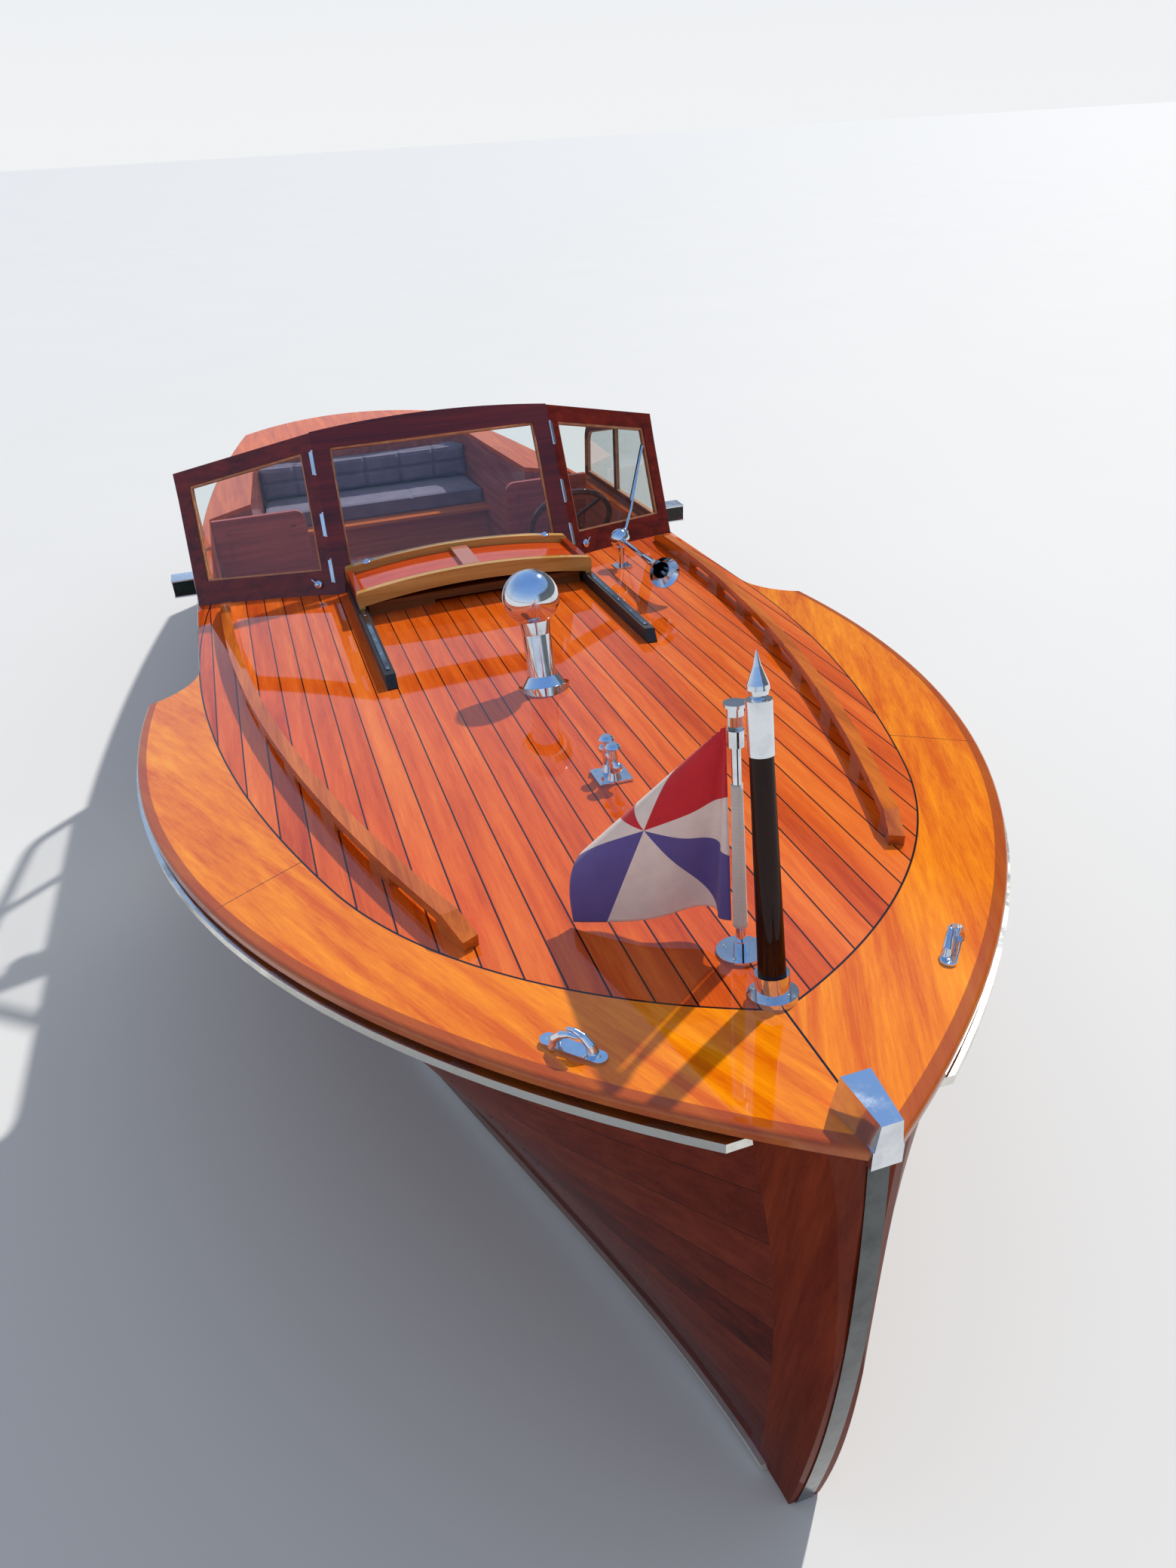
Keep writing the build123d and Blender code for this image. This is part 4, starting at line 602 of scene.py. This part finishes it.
def clear(name, tint, rough=0.0):
    """Clear glass that lets lamp light through."""
    finish, tree, shader = new_finish(name)
    shader.inputs["Base Color"].default_value = colour(*tint)
    shader.inputs["Transmission Weight"].default_value = 1.0
    shader.inputs["IOR"].default_value = 1.45
    smear = put(tree, "TexNoise", {"Vector": put(tree, "TexCoord", out="Object"), "Scale": 9.0, "Detail": 5})
    tree.links.new(put(tree, "MapRange", {"Value": smear, "From Min": 0.35, "From Max": 0.8, "To Min": rough,
                                          "To Max": rough + 0.03}), shader.inputs["Roughness"])
    shadow = put(tree, "LightPath", out="Is Shadow Ray")
    tree.links.new(reckon(tree, "SUBTRACT", 1.0, reckon(tree, "MULTIPLY", shadow, 0.88)),
                   shader.inputs["Alpha"])
    return finish


coated(clear("window_glass", (236, 242, 240)), "window_glass")

pale_bead = varnished("bead_varnish", (176, 116, 84), (214, 158, 122), (236, 192, 158), contrast=0.7,
                      coat=0.5)


shape = node_copy("window_glass")
panes = [face for face in shape.faces if face.calc_area() > 0.03]
bmesh.ops.delete(shape, geom=[face for face in shape.faces if face.calc_area() <= 0.03], context="FACES")
rim = bmesh.ops.inset_individual(shape, faces=panes, thickness=0.007, use_even_offset=True)["faces"]
bmesh.ops.delete(shape, geom=panes, context="FACES")
raised = bmesh.ops.extrude_discrete_faces(shape, faces=rim)["faces"]
for face in raised:
    bmesh.ops.translate(shape, verts=face.verts, vec=face.normal * 0.006)
made("glazing_beads", shape, pale_bead)

wing_low_in, wing_low_out = Vector((0.249, 0.456, 1.0514)), Vector((0.0, 0.950, 0.9953))
wing_top_in, wing_top_out = Vector((0.004, 0.442, 1.590)), Vector((-0.208, 0.939, 1.453))
wing_out = (wing_low_out - wing_low_in).cross(wing_top_in - wing_low_in).normalized()


def on_wing(across, up, proud=0.0, side=1):
    """A place on a wing frame's front, by shares from inner to outer edge and from foot to top."""
    low = wing_low_in.lerp(wing_low_out, across)
    spot = low.lerp(wing_top_in.lerp(wing_top_out, across), up) + wing_out * proud
    return Vector((spot.x, spot.y * side, spot.z))


def rod(shape, start, end, thick, thin=None, segments=12):
    """Adds a round rod between two places, tapered where thin is given."""
    along = end - start
    turn = along.to_track_quat("Z", "Y").to_matrix().to_4x4()
    bmesh.ops.create_cone(shape, cap_ends=True, segments=segments, radius1=thick,
                          radius2=thick if thin is None else thin, depth=along.length,
                          matrix=Matrix.Translation((start + end) / 2) @ turn)


def knob(shape, centre, radius, squash=(1, 1, 1), turn=None):
    """Adds a rounded knob, flattened along its own axes."""
    place = Matrix.Translation(centre) @ (turn or Matrix.Identity(4)) @ Matrix.Diagonal((*squash, 1))
    bmesh.ops.create_uvsphere(shape, u_segments=16, v_segments=10, radius=radius, matrix=place)


shape = bmesh.new()
for side in (1, -1):
    facing = Vector((wing_out.x, wing_out.y * side, wing_out.z)).to_track_quat("Z", "Y").to_matrix().to_4x4()
    normal = facing.to_3x3() @ Vector((0, 0, 1))
    post = (on_wing(0.0, 1, 0, side) - on_wing(0.0, 0, 0, side)).normalized()
    axes = Matrix((normal.cross(post), post, normal)).transposed().to_4x4()
    for middle in (0.17, 0.45, 0.82):
        low, high = on_wing(0.0, middle - 0.07, 0.0030, side), on_wing(0.0, middle + 0.07, 0.0030, side)
        rod(shape, low, high, 0.0036)
        knob(shape, low, 0.0046)
        knob(shape, high, 0.0046)
        leaf = on_wing(0.014, middle, 0.001, side)
        size = Matrix.Diagonal((0.010, 0.080, 0.002, 1))
        bmesh.ops.create_cube(shape, size=1, matrix=Matrix.Translation(leaf) @ axes @ size)
    catch = on_wing(0.115, 0.095, 0.005, side)
    knob(shape, catch, 0.016, (1, 1, 0.5), facing)
    knob(shape, on_wing(0.115, 0.095, 0.014, side), 0.0085, (1, 1, 0.7), facing)
    rod(shape, on_wing(0.115, 0.095, 0.012, side), on_wing(0.15, 0.13, 0.014, side), 0.0035, 0.0025)
made("wing_hinges_and_catches", shape, chrome, smooth=40)

rubber = painted("rubber", (24, 24, 25), (36, 36, 37))
shape = bmesh.new()
facing = wing_out.to_track_quat("Z", "Y").to_matrix().to_4x4()
hub, bend, tip = on_wing(0.50, 0.115, 0.012), on_wing(0.60, 0.28, 0.020), on_wing(0.76, 0.54, 0.004)
knob(shape, hub, 0.017, (1, 1, 0.8), facing)
rod(shape, hub, bend, 0.0055, 0.0040)
rod(shape, bend, tip, 0.0040, 0.0026)
knob(shape, tip, 0.006)
rod(shape, on_wing(0.64, 0.33, 0.003), on_wing(0.86, 0.74, 0.003), 0.0042)
made("wiper", shape, chrome, smooth=40)
shape = bmesh.new()
rod(shape, on_wing(0.636, 0.32, -0.004), on_wing(0.864, 0.75, -0.004), 0.0045, segments=6)
made("wiper_blade", shape, rubber, smooth=40)


# Sliding hatch and rails
# Two cambered beams of pale ash carry an orange panel with a short centre batten over the hatchway.
# Black rails with bright metal strips guide them forward.

cheek_aft, cheek_front = 0.2815, 0.5485
batten_half = 0.0305


def between_beams(tree, spot):
    """The cheeks between the beams, as a mask."""
    x, y, z = parts_of(tree, spot)
    return reckon(tree, "MULTIPLY", reckon(tree, "GREATER_THAN", x, cheek_aft),
                  reckon(tree, "LESS_THAN", x, cheek_front))


def on_batten(tree, spot):
    """The short batten on the panel's middle, as a mask."""
    x, y, z = parts_of(tree, spot)
    return reckon(tree, "LESS_THAN", reckon(tree, "ABSOLUTE", y), batten_half)


coated(varnished("ash_varnish", (178, 128, 64), (214, 168, 96), (236, 200, 132), turn=90, contrast=0.8,
                 coat=0.7, seams=between_beams, seam_colour=colour(150, 56, 20)), "hatch_frame")
coated(varnished("panel_varnish", (178, 56, 12), (216, 82, 22), (236, 112, 44), turn=90, contrast=0.8,
                 seams=on_batten, seam_colour=colour(186, 116, 92)), "hatch_panel")
# The coaming's wood is darkened to the brown of its face in shadow under the front beam: painted shade.
coated(varnished("coaming_varnish_painted_shade", (104, 58, 28), (138, 84, 44), (168, 112, 68), turn=90, coat=0.6),
       "hatch_coaming")
coated(painted("black_rail", (30, 28, 29), (46, 44, 44)), "hatch_rails")

deck_height, deck_rise, crown_radius = 1.067, 0.05, 8.0
deck_tilt = atan2(deck_rise, 1.0)


def deck_z(x, y=0.0):
    fall = crown_radius - sqrt(crown_radius ** 2 - y * y)
    return deck_height + deck_rise * x - fall / cos(deck_tilt)


def on_deck(x, y=0.0, turn=0.0, lean=None):
    """A place on the deck with Z up from it, turned about its upright, in degrees."""
    tip = Matrix.Rotation(-(deck_tilt if lean is None else radians(lean)), 4, "Y")
    return Matrix.Translation((x, y, deck_z(x, y))) @ tip @ Matrix.Rotation(radians(turn), 4, "Z")


def screw(shape, place, radius=0.0035):
    """Adds a raised screw head."""
    bmesh.ops.create_cone(shape, cap_ends=True, segments=12, radius1=radius, radius2=radius * 0.65,
                          depth=radius * 0.5, matrix=place @ Matrix.Translation((0, 0, radius * 0.25)))


rail_aft, rail_length, rail_y, rail_top = 0.265, 0.885, 0.404, 0.0412
strip_wide, strip_thick = 0.014, 0.0024
strips, screws = bmesh.new(), bmesh.new()
for side in (1, -1):
    middle = on_deck(rail_aft + rail_length / 2, side * rail_y) @ Matrix.Translation((0, 0, rail_top))
    size = Matrix.Diagonal((rail_length, strip_wide, strip_thick, 1))
    bmesh.ops.create_cube(strips, size=1, matrix=middle @ size)
    for number in range(8):
        along = rail_length * (number / 7 - 0.5) * 0.97
        screw(screws, middle @ Matrix.Translation((along, 0, strip_thick / 2)))
made("rail_strips", strips, band_metal)
made("rail_screws", screws, strip_metal, smooth=40)

catch_x, catch_y, beam_top, beam_crown = 0.262, 0.335, 0.122, 2.4
shape = bmesh.new()
for side in (1, -1):
    top = deck_z(0.264) + beam_top - beam_crown + sqrt(beam_crown ** 2 - catch_y ** 2)
    place = Matrix.Translation((catch_x, side * catch_y, top - 0.002))
    knob(shape, place.translation, 0.017, (1, 1, 0.45))
    knob(shape, place.translation + Vector((0, 0, 0.006)), 0.009, (1, 1, 0.6))
    hook = place.translation + Vector((-0.012, -side * 0.045, 0.004))
    rod(shape, place.translation + Vector((0, 0, 0.005)), hook, 0.0028)
    rod(shape, hook, hook + Vector((-0.010, 0, -0.012)), 0.0028, 0.0022)
made("hatch_catches", shape, chrome, smooth=40, rides="hatch")


# Grab rails
# A long curved rail of brown mahogany on each side, slotted for the hands and tapered down at both ends.

coated(varnished("handrail_varnish", (168, 78, 18), (216, 116, 34), (238, 150, 62), contrast=0.9),
       "handrails")


# Deck fittings
# Chromed bronze castings, polished bright and screwed through the deck.

coated(chrome, "cowl_vent", "bollard", "light_pole", "jackstaff_fittings", "fairleads", "horn",
       "steering_column")
coated(metal("lamp_chrome", (232, 234, 236), (204, 207, 211), smooth=0.22, marked=0.4), "nav_lights")
coated(varnished("staff_varnish", (28, 10, 7), (46, 19, 12), (66, 32, 22), tip=90, contrast=0.8,
                 coat=0.4), "jackstaff")
shape = bmesh.new()
plate_places = [(bx * 0.031, by * 0.031) for bx in (1, -1) for by in (1, -1)]
for x, y in plate_places:
    screw(shape, on_deck(1.980) @ Matrix.Translation((x, y, 0.0068)), 0.0045)
# place along the deck, lean in degrees, ring's radius, height of the flange's top
flanges = (
    (1.395, degrees(deck_tilt) + 14, 0.067, 0.0060),
    (2.707, 6.8, 0.033, 0.0048),
    (2.837, 11, 0.038, 0.0058))
for x, lean, ring, top in flanges:
    seat = on_deck(x, 0, 0, lean)
    for number in range(4):
        spin = Matrix.Rotation(radians(45 + 90 * number), 4, "Z")
        screw(shape, seat @ spin @ Matrix.Translation((ring, 0, top)), 0.004)
fairlead_x, fairlead_y, fairlead_turn = 2.832, 0.363, 42
for side in (1, -1):
    for end in (-0.049, 0.049):
        seat = on_deck(fairlead_x, side * fairlead_y, side * -fairlead_turn)
        screw(shape, seat @ Matrix.Translation((end, 0, 0.007)), 0.004)
for x in (-0.024, 0.024):
    for y in (-0.022, 0.022):
        screw(shape, on_deck(0.420, 0.583) @ Matrix.Translation((x, y, 0.0058)), 0.0035)
made("fitting_screws", shape, strip_metal, smooth=40)

coated(clear("lamp_glass", (200, 205, 210), 0.05), "light_lens")
coated(clear("red_glass", (190, 24, 20), 0.05), "nav_lens_red")
coated(clear("green_glass", (20, 140, 70), 0.05), "nav_lens_green")


# Steering wheel
# A varnished wooden wheel with four spokes, on the column's end.

coated(varnished("wheel_varnish", (70, 30, 18), (112, 54, 34), (150, 84, 56)), "steering_wheel")


# Engine fittings and helm controls
# A cast rocker cover, manifold, filter, pulley and leads are bolted to the engine block.
# Two round dials and a throttle are of chromed brass.

def casting(shape, low, high, round_by=0.008):
    """Adds a cast box between two corners with its edges rounded."""
    middle, span = (Vector(low) + Vector(high)) / 2, Vector(high) - Vector(low)
    place = Matrix.Translation(middle) @ Matrix.Diagonal((*span, 1))
    corners = bmesh.ops.create_cube(shape, size=1, matrix=place)["verts"]
    edges = list({edge for v in corners for edge in v.link_edges})
    bmesh.ops.bevel(shape, geom=edges, offset=round_by, segments=3, profile=0.5, affect="EDGES")


cover_low, cover_high = (-1.400, -0.068, 0.396), (-0.960, 0.068, 0.452)
manifold_low, manifold_high = (-1.380, -0.236, 0.170), (-0.980, -0.186, 0.232)
branch_places, branch_half, branch_side, branch_top = (-1.34, -1.23, -1.12, -1.01), 0.022, -0.200, 0.300
shape = bmesh.new()
casting(shape, cover_low, cover_high, 0.018)
casting(shape, manifold_low, manifold_high, 0.014)
for x in branch_places:
    casting(shape, (x - branch_half, branch_side, manifold_high[2]),
            (x + branch_half, manifold_high[1], branch_top), 0.006)
made("engine_castings", shape, painted("casting_enamel", (72, 122, 100), (50, 88, 72)), smooth=40)
cover_nuts, filter_x, filter_z = (-1.30, -1.06), -1.150, 0.260
pulley_aft, pulley_front = -0.764, -0.736
# place across the engine, height, radius, sides
pulleys = ((0, 0.200, 0.055, 32), (0.110, 0.300, 0.030, 24))
shape = bmesh.new()
for x in cover_nuts:
    rod(shape, Vector((x, 0, 0.450)), Vector((x, 0, 0.462)), 0.012, 0.010, 6)
rod(shape, Vector((filter_x, 0.186, filter_z)), Vector((filter_x, 0.240, filter_z)), 0.034, 0.030, 24)
for y, z, radius, sides in pulleys:
    rod(shape, Vector((pulley_aft, y, z)), Vector((pulley_front, y, z)), radius, segments=sides)
made("engine_bright_parts", shape, shaft_steel, smooth=40)
plug_places, plug_y, lead_z = (-1.36, -1.24, -1.12, -1.00), 0.100, 0.418
cap_x, cap_y = -1.18, 0.150
shape = bmesh.new()
for x in plug_places:
    rod(shape, Vector((x, plug_y, 0.398)), Vector((x, plug_y, 0.420)), 0.009, 0.007)
    rod(shape, Vector((x, plug_y, lead_z)), Vector((cap_x, cap_y, lead_z)), 0.0035, segments=8)
rod(shape, Vector((cap_x, cap_y, 0.396)), Vector((cap_x, cap_y, 0.430)), 0.026, 0.022, 20)
made("engine_leads", shape, rubber, smooth=40)

dial_places, dial_drop = (0.500, 0.780), 0.085
throttle_y, throttle_drop = 0.400, 0.100
shape, faces = bmesh.new(), bmesh.new()
low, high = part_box("helm_console")
console_turn = Matrix.Rotation(radians(-90), 4, "Y")
for y in dial_places:
    place = Matrix.Translation((low[0] - 0.003, y, high[2] - dial_drop)) @ console_turn
    bmesh.ops.create_cone(shape, cap_ends=True, segments=36, radius1=0.036, radius2=0.032, depth=0.008,
                          matrix=place)
    bmesh.ops.create_cone(faces, cap_ends=True, segments=36, radius1=0.027, radius2=0.027, depth=0.002,
                          matrix=place @ Matrix.Translation((0, 0, 0.0048)))
lever = Vector((low[0] - 0.002, throttle_y, high[2] - throttle_drop))
knob(shape, lever, 0.020, (0.5, 1, 1))
rod(shape, lever, lever + Vector((-0.035, 0, 0.075)), 0.0055, 0.0045)
knob(shape, lever + Vector((-0.035, 0, 0.078)), 0.012)
made("helm_dials_and_throttle", shape, chrome, smooth=40)
made("dial_faces", faces, painted("dial_enamel", (20, 22, 26), (36, 38, 42)), smooth=40)


# Upholstery
# Foam pads in grey-blue cloth: one across the bench, a backrest sewn in square panels, two seat pads.
# Each is a closed cover stuffed tight, lying on its own board.

cloth_weave, take, give = shared(
    "cloth_weave", [("Place", "Vector", (0, 0, 0)), ("Threads", "Float", 900.0), ("Fade", "Float", 0.5),
                    ("Thread", "Color", (0.1, 0.1, 0.1, 1)), ("Faded", "Color", (0.2, 0.2, 0.2, 1))],
    [("Color", "Color"), ("Roughness", "Float"), ("Height", "Float")])
weave = put(cloth_weave, "VectorMath", {0: take["Place"], "Scale": take["Threads"]}, operation="SCALE")
weave = put(cloth_weave, "VectorMath", {0: weave}, operation="SINE")
wx, wy, wz = parts_of(cloth_weave, weave)
threads = reckon(cloth_weave, "MULTIPLY", reckon(cloth_weave, "ADD", wx, wy), 0.5)
threads = reckon(cloth_weave, "ADD", threads, wz)
rubbed = put(cloth_weave, "TexNoise", {"Vector": take["Place"], "Scale": 9.0, "Detail": 5, "Roughness": 0.6})
rubbed = reckon(cloth_weave, "MULTIPLY", put(cloth_weave, "MapRange",
                                             {"Value": rubbed, "From Min": 0.35, "From Max": 0.7}),
                take["Fade"])
rubbed = reckon(cloth_weave, "ADD", rubbed, reckon(cloth_weave, "MULTIPLY", threads, 0.12), clamp=True)
cloth_weave.links.new(blended(cloth_weave, rubbed, take["Thread"], take["Faded"]), give["Color"])
cloth_weave.links.new(put(cloth_weave, "MapRange", {"Value": rubbed, "To Min": 0.78, "To Max": 0.92}),
                      give["Roughness"])
cloth_weave.links.new(threads, give["Height"])


def woven(name, thread, faded, sheen=0.25):
    finish, tree, shader = new_finish(name)
    look = placed(tree, cloth_weave, {"Place": put(tree, "TexCoord", out="Object"), "Thread": colour(*thread),
                                      "Faded": colour(*faded)})
    tree.links.new(look["Color"], shader.inputs["Base Color"])
    tree.links.new(look["Roughness"], shader.inputs["Roughness"])
    tree.links.new(put(tree, "Bump", {"Height": look["Height"], "Strength": 0.25, "Distance": 0.0006}),
                   shader.inputs["Normal"])
    shader.inputs["Sheen Weight"].default_value = sheen
    return finish


# The grey-blue cloth is lightened well beyond its own colour, as painted light for the shaded cockpit.
seat_cloth_painted_light = woven("seat_cloth_painted_light", (112, 102, 130), (146, 136, 162))


def stuffed(name, node, start, seams, voxel=0.006, puff=0.010, seam_deep=0.006, short=0.0):
    """A stuffed cover: a shrunken copy of its CAD pad, remeshed and blown up, then drawn in along its seams.
    Seams are rows of (axis, place, half width) across the pad; short is how far its front stands back."""
    low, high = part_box(node)
    shape = node_copy(node)
    front = [v for v in shape.verts if v.co.x > (low[0] + high[0]) / 2]
    bmesh.ops.translate(shape, verts=front, vec=(-short, 0, 0))
    piece = made(name, shape, seat_cloth_painted_light, rides=None)
    remesh = piece.modifiers.new("even", "REMESH")
    remesh.mode, remesh.voxel_size = "VOXEL", voxel
    shrink = piece.modifiers.new("slack", "DISPLACE")
    shrink.strength, shrink.mid_level = -start, 0.0
    smooth = piece.modifiers.new("round", "SMOOTH")
    smooth.factor, smooth.iterations = 0.5, 8
    settled(piece)
    rest = [v.co.copy() for v in piece.data.vertices]
    cloth = piece.modifiers.new("cover", "CLOTH")
    cloth.settings.quality = 5
    cloth.settings.mass = 0.25
    cloth.settings.use_pressure = True
    cloth.settings.uniform_pressure_force = 4
    cloth.settings.effector_weights.gravity = 0
    cloth.point_cache.frame_end = 20
    for step in range(1, 21):
        bpy.context.scene.frame_set(step)
    settled(piece)
    bpy.context.scene.frame_set(1)
    for v, old in zip(piece.data.vertices, rest):
        move = v.co - old
        if move.length > puff:
            v.co = old + move.normalized() * puff
        for axis, place, half in seams:
            near = exp(-((v.co[axis] - place) / half) ** 2)
            middle = (low + high) / 2
            other = 2 if node != "backrest" else 0
            v.co[other] -= (v.co[other] - middle[other]) * near * seam_deep / (high[other] - low[other]) * 2
        for k in range(3):
            v.co[k] = min(max(v.co[k], low[k]), high[k])
    piece.modifiers.new("fine", "SUBSURF").levels = 1
    piece.modifiers["fine"].render_levels = 1
    piece.data.shade_smooth()
    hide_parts(node)
    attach(piece, "hull")
    return piece


def settled(piece):
    """Applies a piece's modifiers to its mesh."""
    shown = piece.evaluated_get(bpy.context.evaluated_depsgraph_get())
    mesh = bpy.data.meshes.new_from_object(shown)
    piece.modifiers.clear()
    piece.data = mesh


panel_seams = [(1, y, 0.010) for y in (-0.41, -0.205, 0.0, 0.205, 0.41)]
stuffed("bench_pad", "bench_cushion", 0.006, [(1, -0.215, 0.010), (1, 0.215, 0.010)], short=0.075)
stuffed("back_pad", "backrest", 0.006, panel_seams + [(2, 0.75, 0.010)], seam_deep=0.022)
stuffed("forward_pads", "forward_cushions", 0.005, [])


# Flag
# A small flag of cotton bunting cut in rays of red and blue on white, hemmed all round.
# Its hoist ties to the pole beside the lamp, and the fly hangs in folds from the upper corner.

fly, hoist = 0.370, 0.385
flag_foot = 0.066
flag_turn = 238
# a fold's strength in degrees, its place and its breadth in degrees round the hoist's upper corner
flag_folds = [(-80, 7, 5), (52, 20, 10)]
ridge_at, ridge_wide = 40, 36

flag_finish, tree, shader = new_finish("flag_bunting")
cut = tree.nodes.new("ShaderNodeUVMap")
cut.uv_map = "cut"
fx, fy, fz = parts_of(tree, cut.outputs[0])
fx = reckon(tree, "MULTIPLY", reckon(tree, "SUBTRACT", fx, 0.5), 2.0)
fy = reckon(tree, "MULTIPLY", reckon(tree, "SUBTRACT", fy, 0.5), 2.0)
wide, tall = reckon(tree, "ABSOLUTE", fx), reckon(tree, "ABSOLUTE", fy)
white = reckon(tree, "MAXIMUM", reckon(tree, "LESS_THAN", tall, reckon(tree, "MULTIPLY", wide, 0.30)),
               reckon(tree, "LESS_THAN", wide, reckon(tree, "MULTIPLY", tall, 0.62)))
rays = blended(tree, reckon(tree, "GREATER_THAN", fy, 0.0), colour(96, 84, 158), colour(214, 24, 42))
rays = blended(tree, white, rays, colour(246, 230, 224))
edge = reckon(tree, "MAXIMUM", wide, tall)
hem = put(tree, "MapRange", {"Value": edge, "From Min": 0.955, "From Max": 0.965})
faded = blended(tree, 0.25, rays, colour(120, 100, 100))
faded.node.blend_type = "MULTIPLY"
look = placed(tree, cloth_weave, {"Place": cut.outputs[0], "Threads": 1400.0, "Fade": 0.5, "Thread": rays,
                                  "Faded": faded})
tree.links.new(look["Color"], shader.inputs["Base Color"])
tree.links.new(look["Roughness"], shader.inputs["Roughness"])
tree.links.new(put(tree, "Bump", {"Height": reckon(tree, "ADD", look["Height"],
                                                   reckon(tree, "MULTIPLY", hem, 3.0)), "Strength": 0.3,
                                  "Distance": 0.0006}), shader.inputs["Normal"])
shader.inputs["Sheen Weight"].default_value = 0.2

pole = on_deck(2.707, 0, 0, 6.8)
pole_up = (pole.to_3x3() @ Vector((0, 0, 1))).normalized()
fore = (Vector((1, 0, 0)) - pole_up * pole_up.x).normalized()
port = pole_up.cross(fore)
slope, heading_now, fall = 0.0, radians(flag_turn), [-pole_up]
steps = 360
for step in range(1, steps + 1):
    at = 90 * step / steps
    bend = sum(strength * exp(-((at - centre) / breadth) ** 2) for strength, centre, breadth in flag_folds)
    share = min(max((at - ridge_at) / ridge_wide, 0), 1)
    bend = radians(bend - 180 * share * share * (3 - 2 * share))
    slope += cos(bend) * pi / 2 / steps
    heading_now += sin(bend) * pi / 2 / steps / max(sin(slope), 0.15)
    across = fore * cos(heading_now) + port * sin(heading_now)
    fall.append((across * sin(slope) - pole_up * cos(slope)).normalized())
outward = fore * cos(radians(flag_turn)) + port * sin(radians(flag_turn))
top_corner = pole.translation + pole_up * (flag_foot + hoist) + outward * 0.0160
shape = bmesh.new()
shape.loops.layers.uv.new("cut")
bmesh.ops.create_grid(shape, x_segments=60, y_segments=60, size=0.5, calc_uvs=True)
for v in shape.verts:
    out, down = (v.co.x + 0.5) * fly, (0.5 - v.co.y) * hoist
    reach, angle = sqrt(out ** 2 + down ** 2), atan2(out, down) / (pi / 2) * steps
    low = min(int(angle), steps - 1)
    v.co = top_corner + fall[low].lerp(fall[low + 1], angle - low).normalized() * reach
flag = made("flag_cloth", shape, flag_finish, smooth=60)
flag.modifiers.new("bunting", "SOLIDIFY").thickness = 0.0007

shape = bmesh.new()
bmesh.ops.create_cone(shape, cap_ends=False, segments=20, radius1=0.0135, radius2=0.0105, depth=0.285,
                      matrix=pole @ Matrix.Translation((0, 0, 0.2)))
upright = [e for e in shape.edges if abs((e.verts[0].co - e.verts[1].co).dot(pole_up)) > 0.1]
bmesh.ops.subdivide_edges(shape, edges=upright, cuts=24)
sleeve = made("flag_sleeve", shape, woven("sleeve_cotton", (206, 198, 192), (228, 220, 214)), smooth=60)
sleeve.modifiers.new("cotton", "SOLIDIFY").thickness = 0.001
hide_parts("flag")
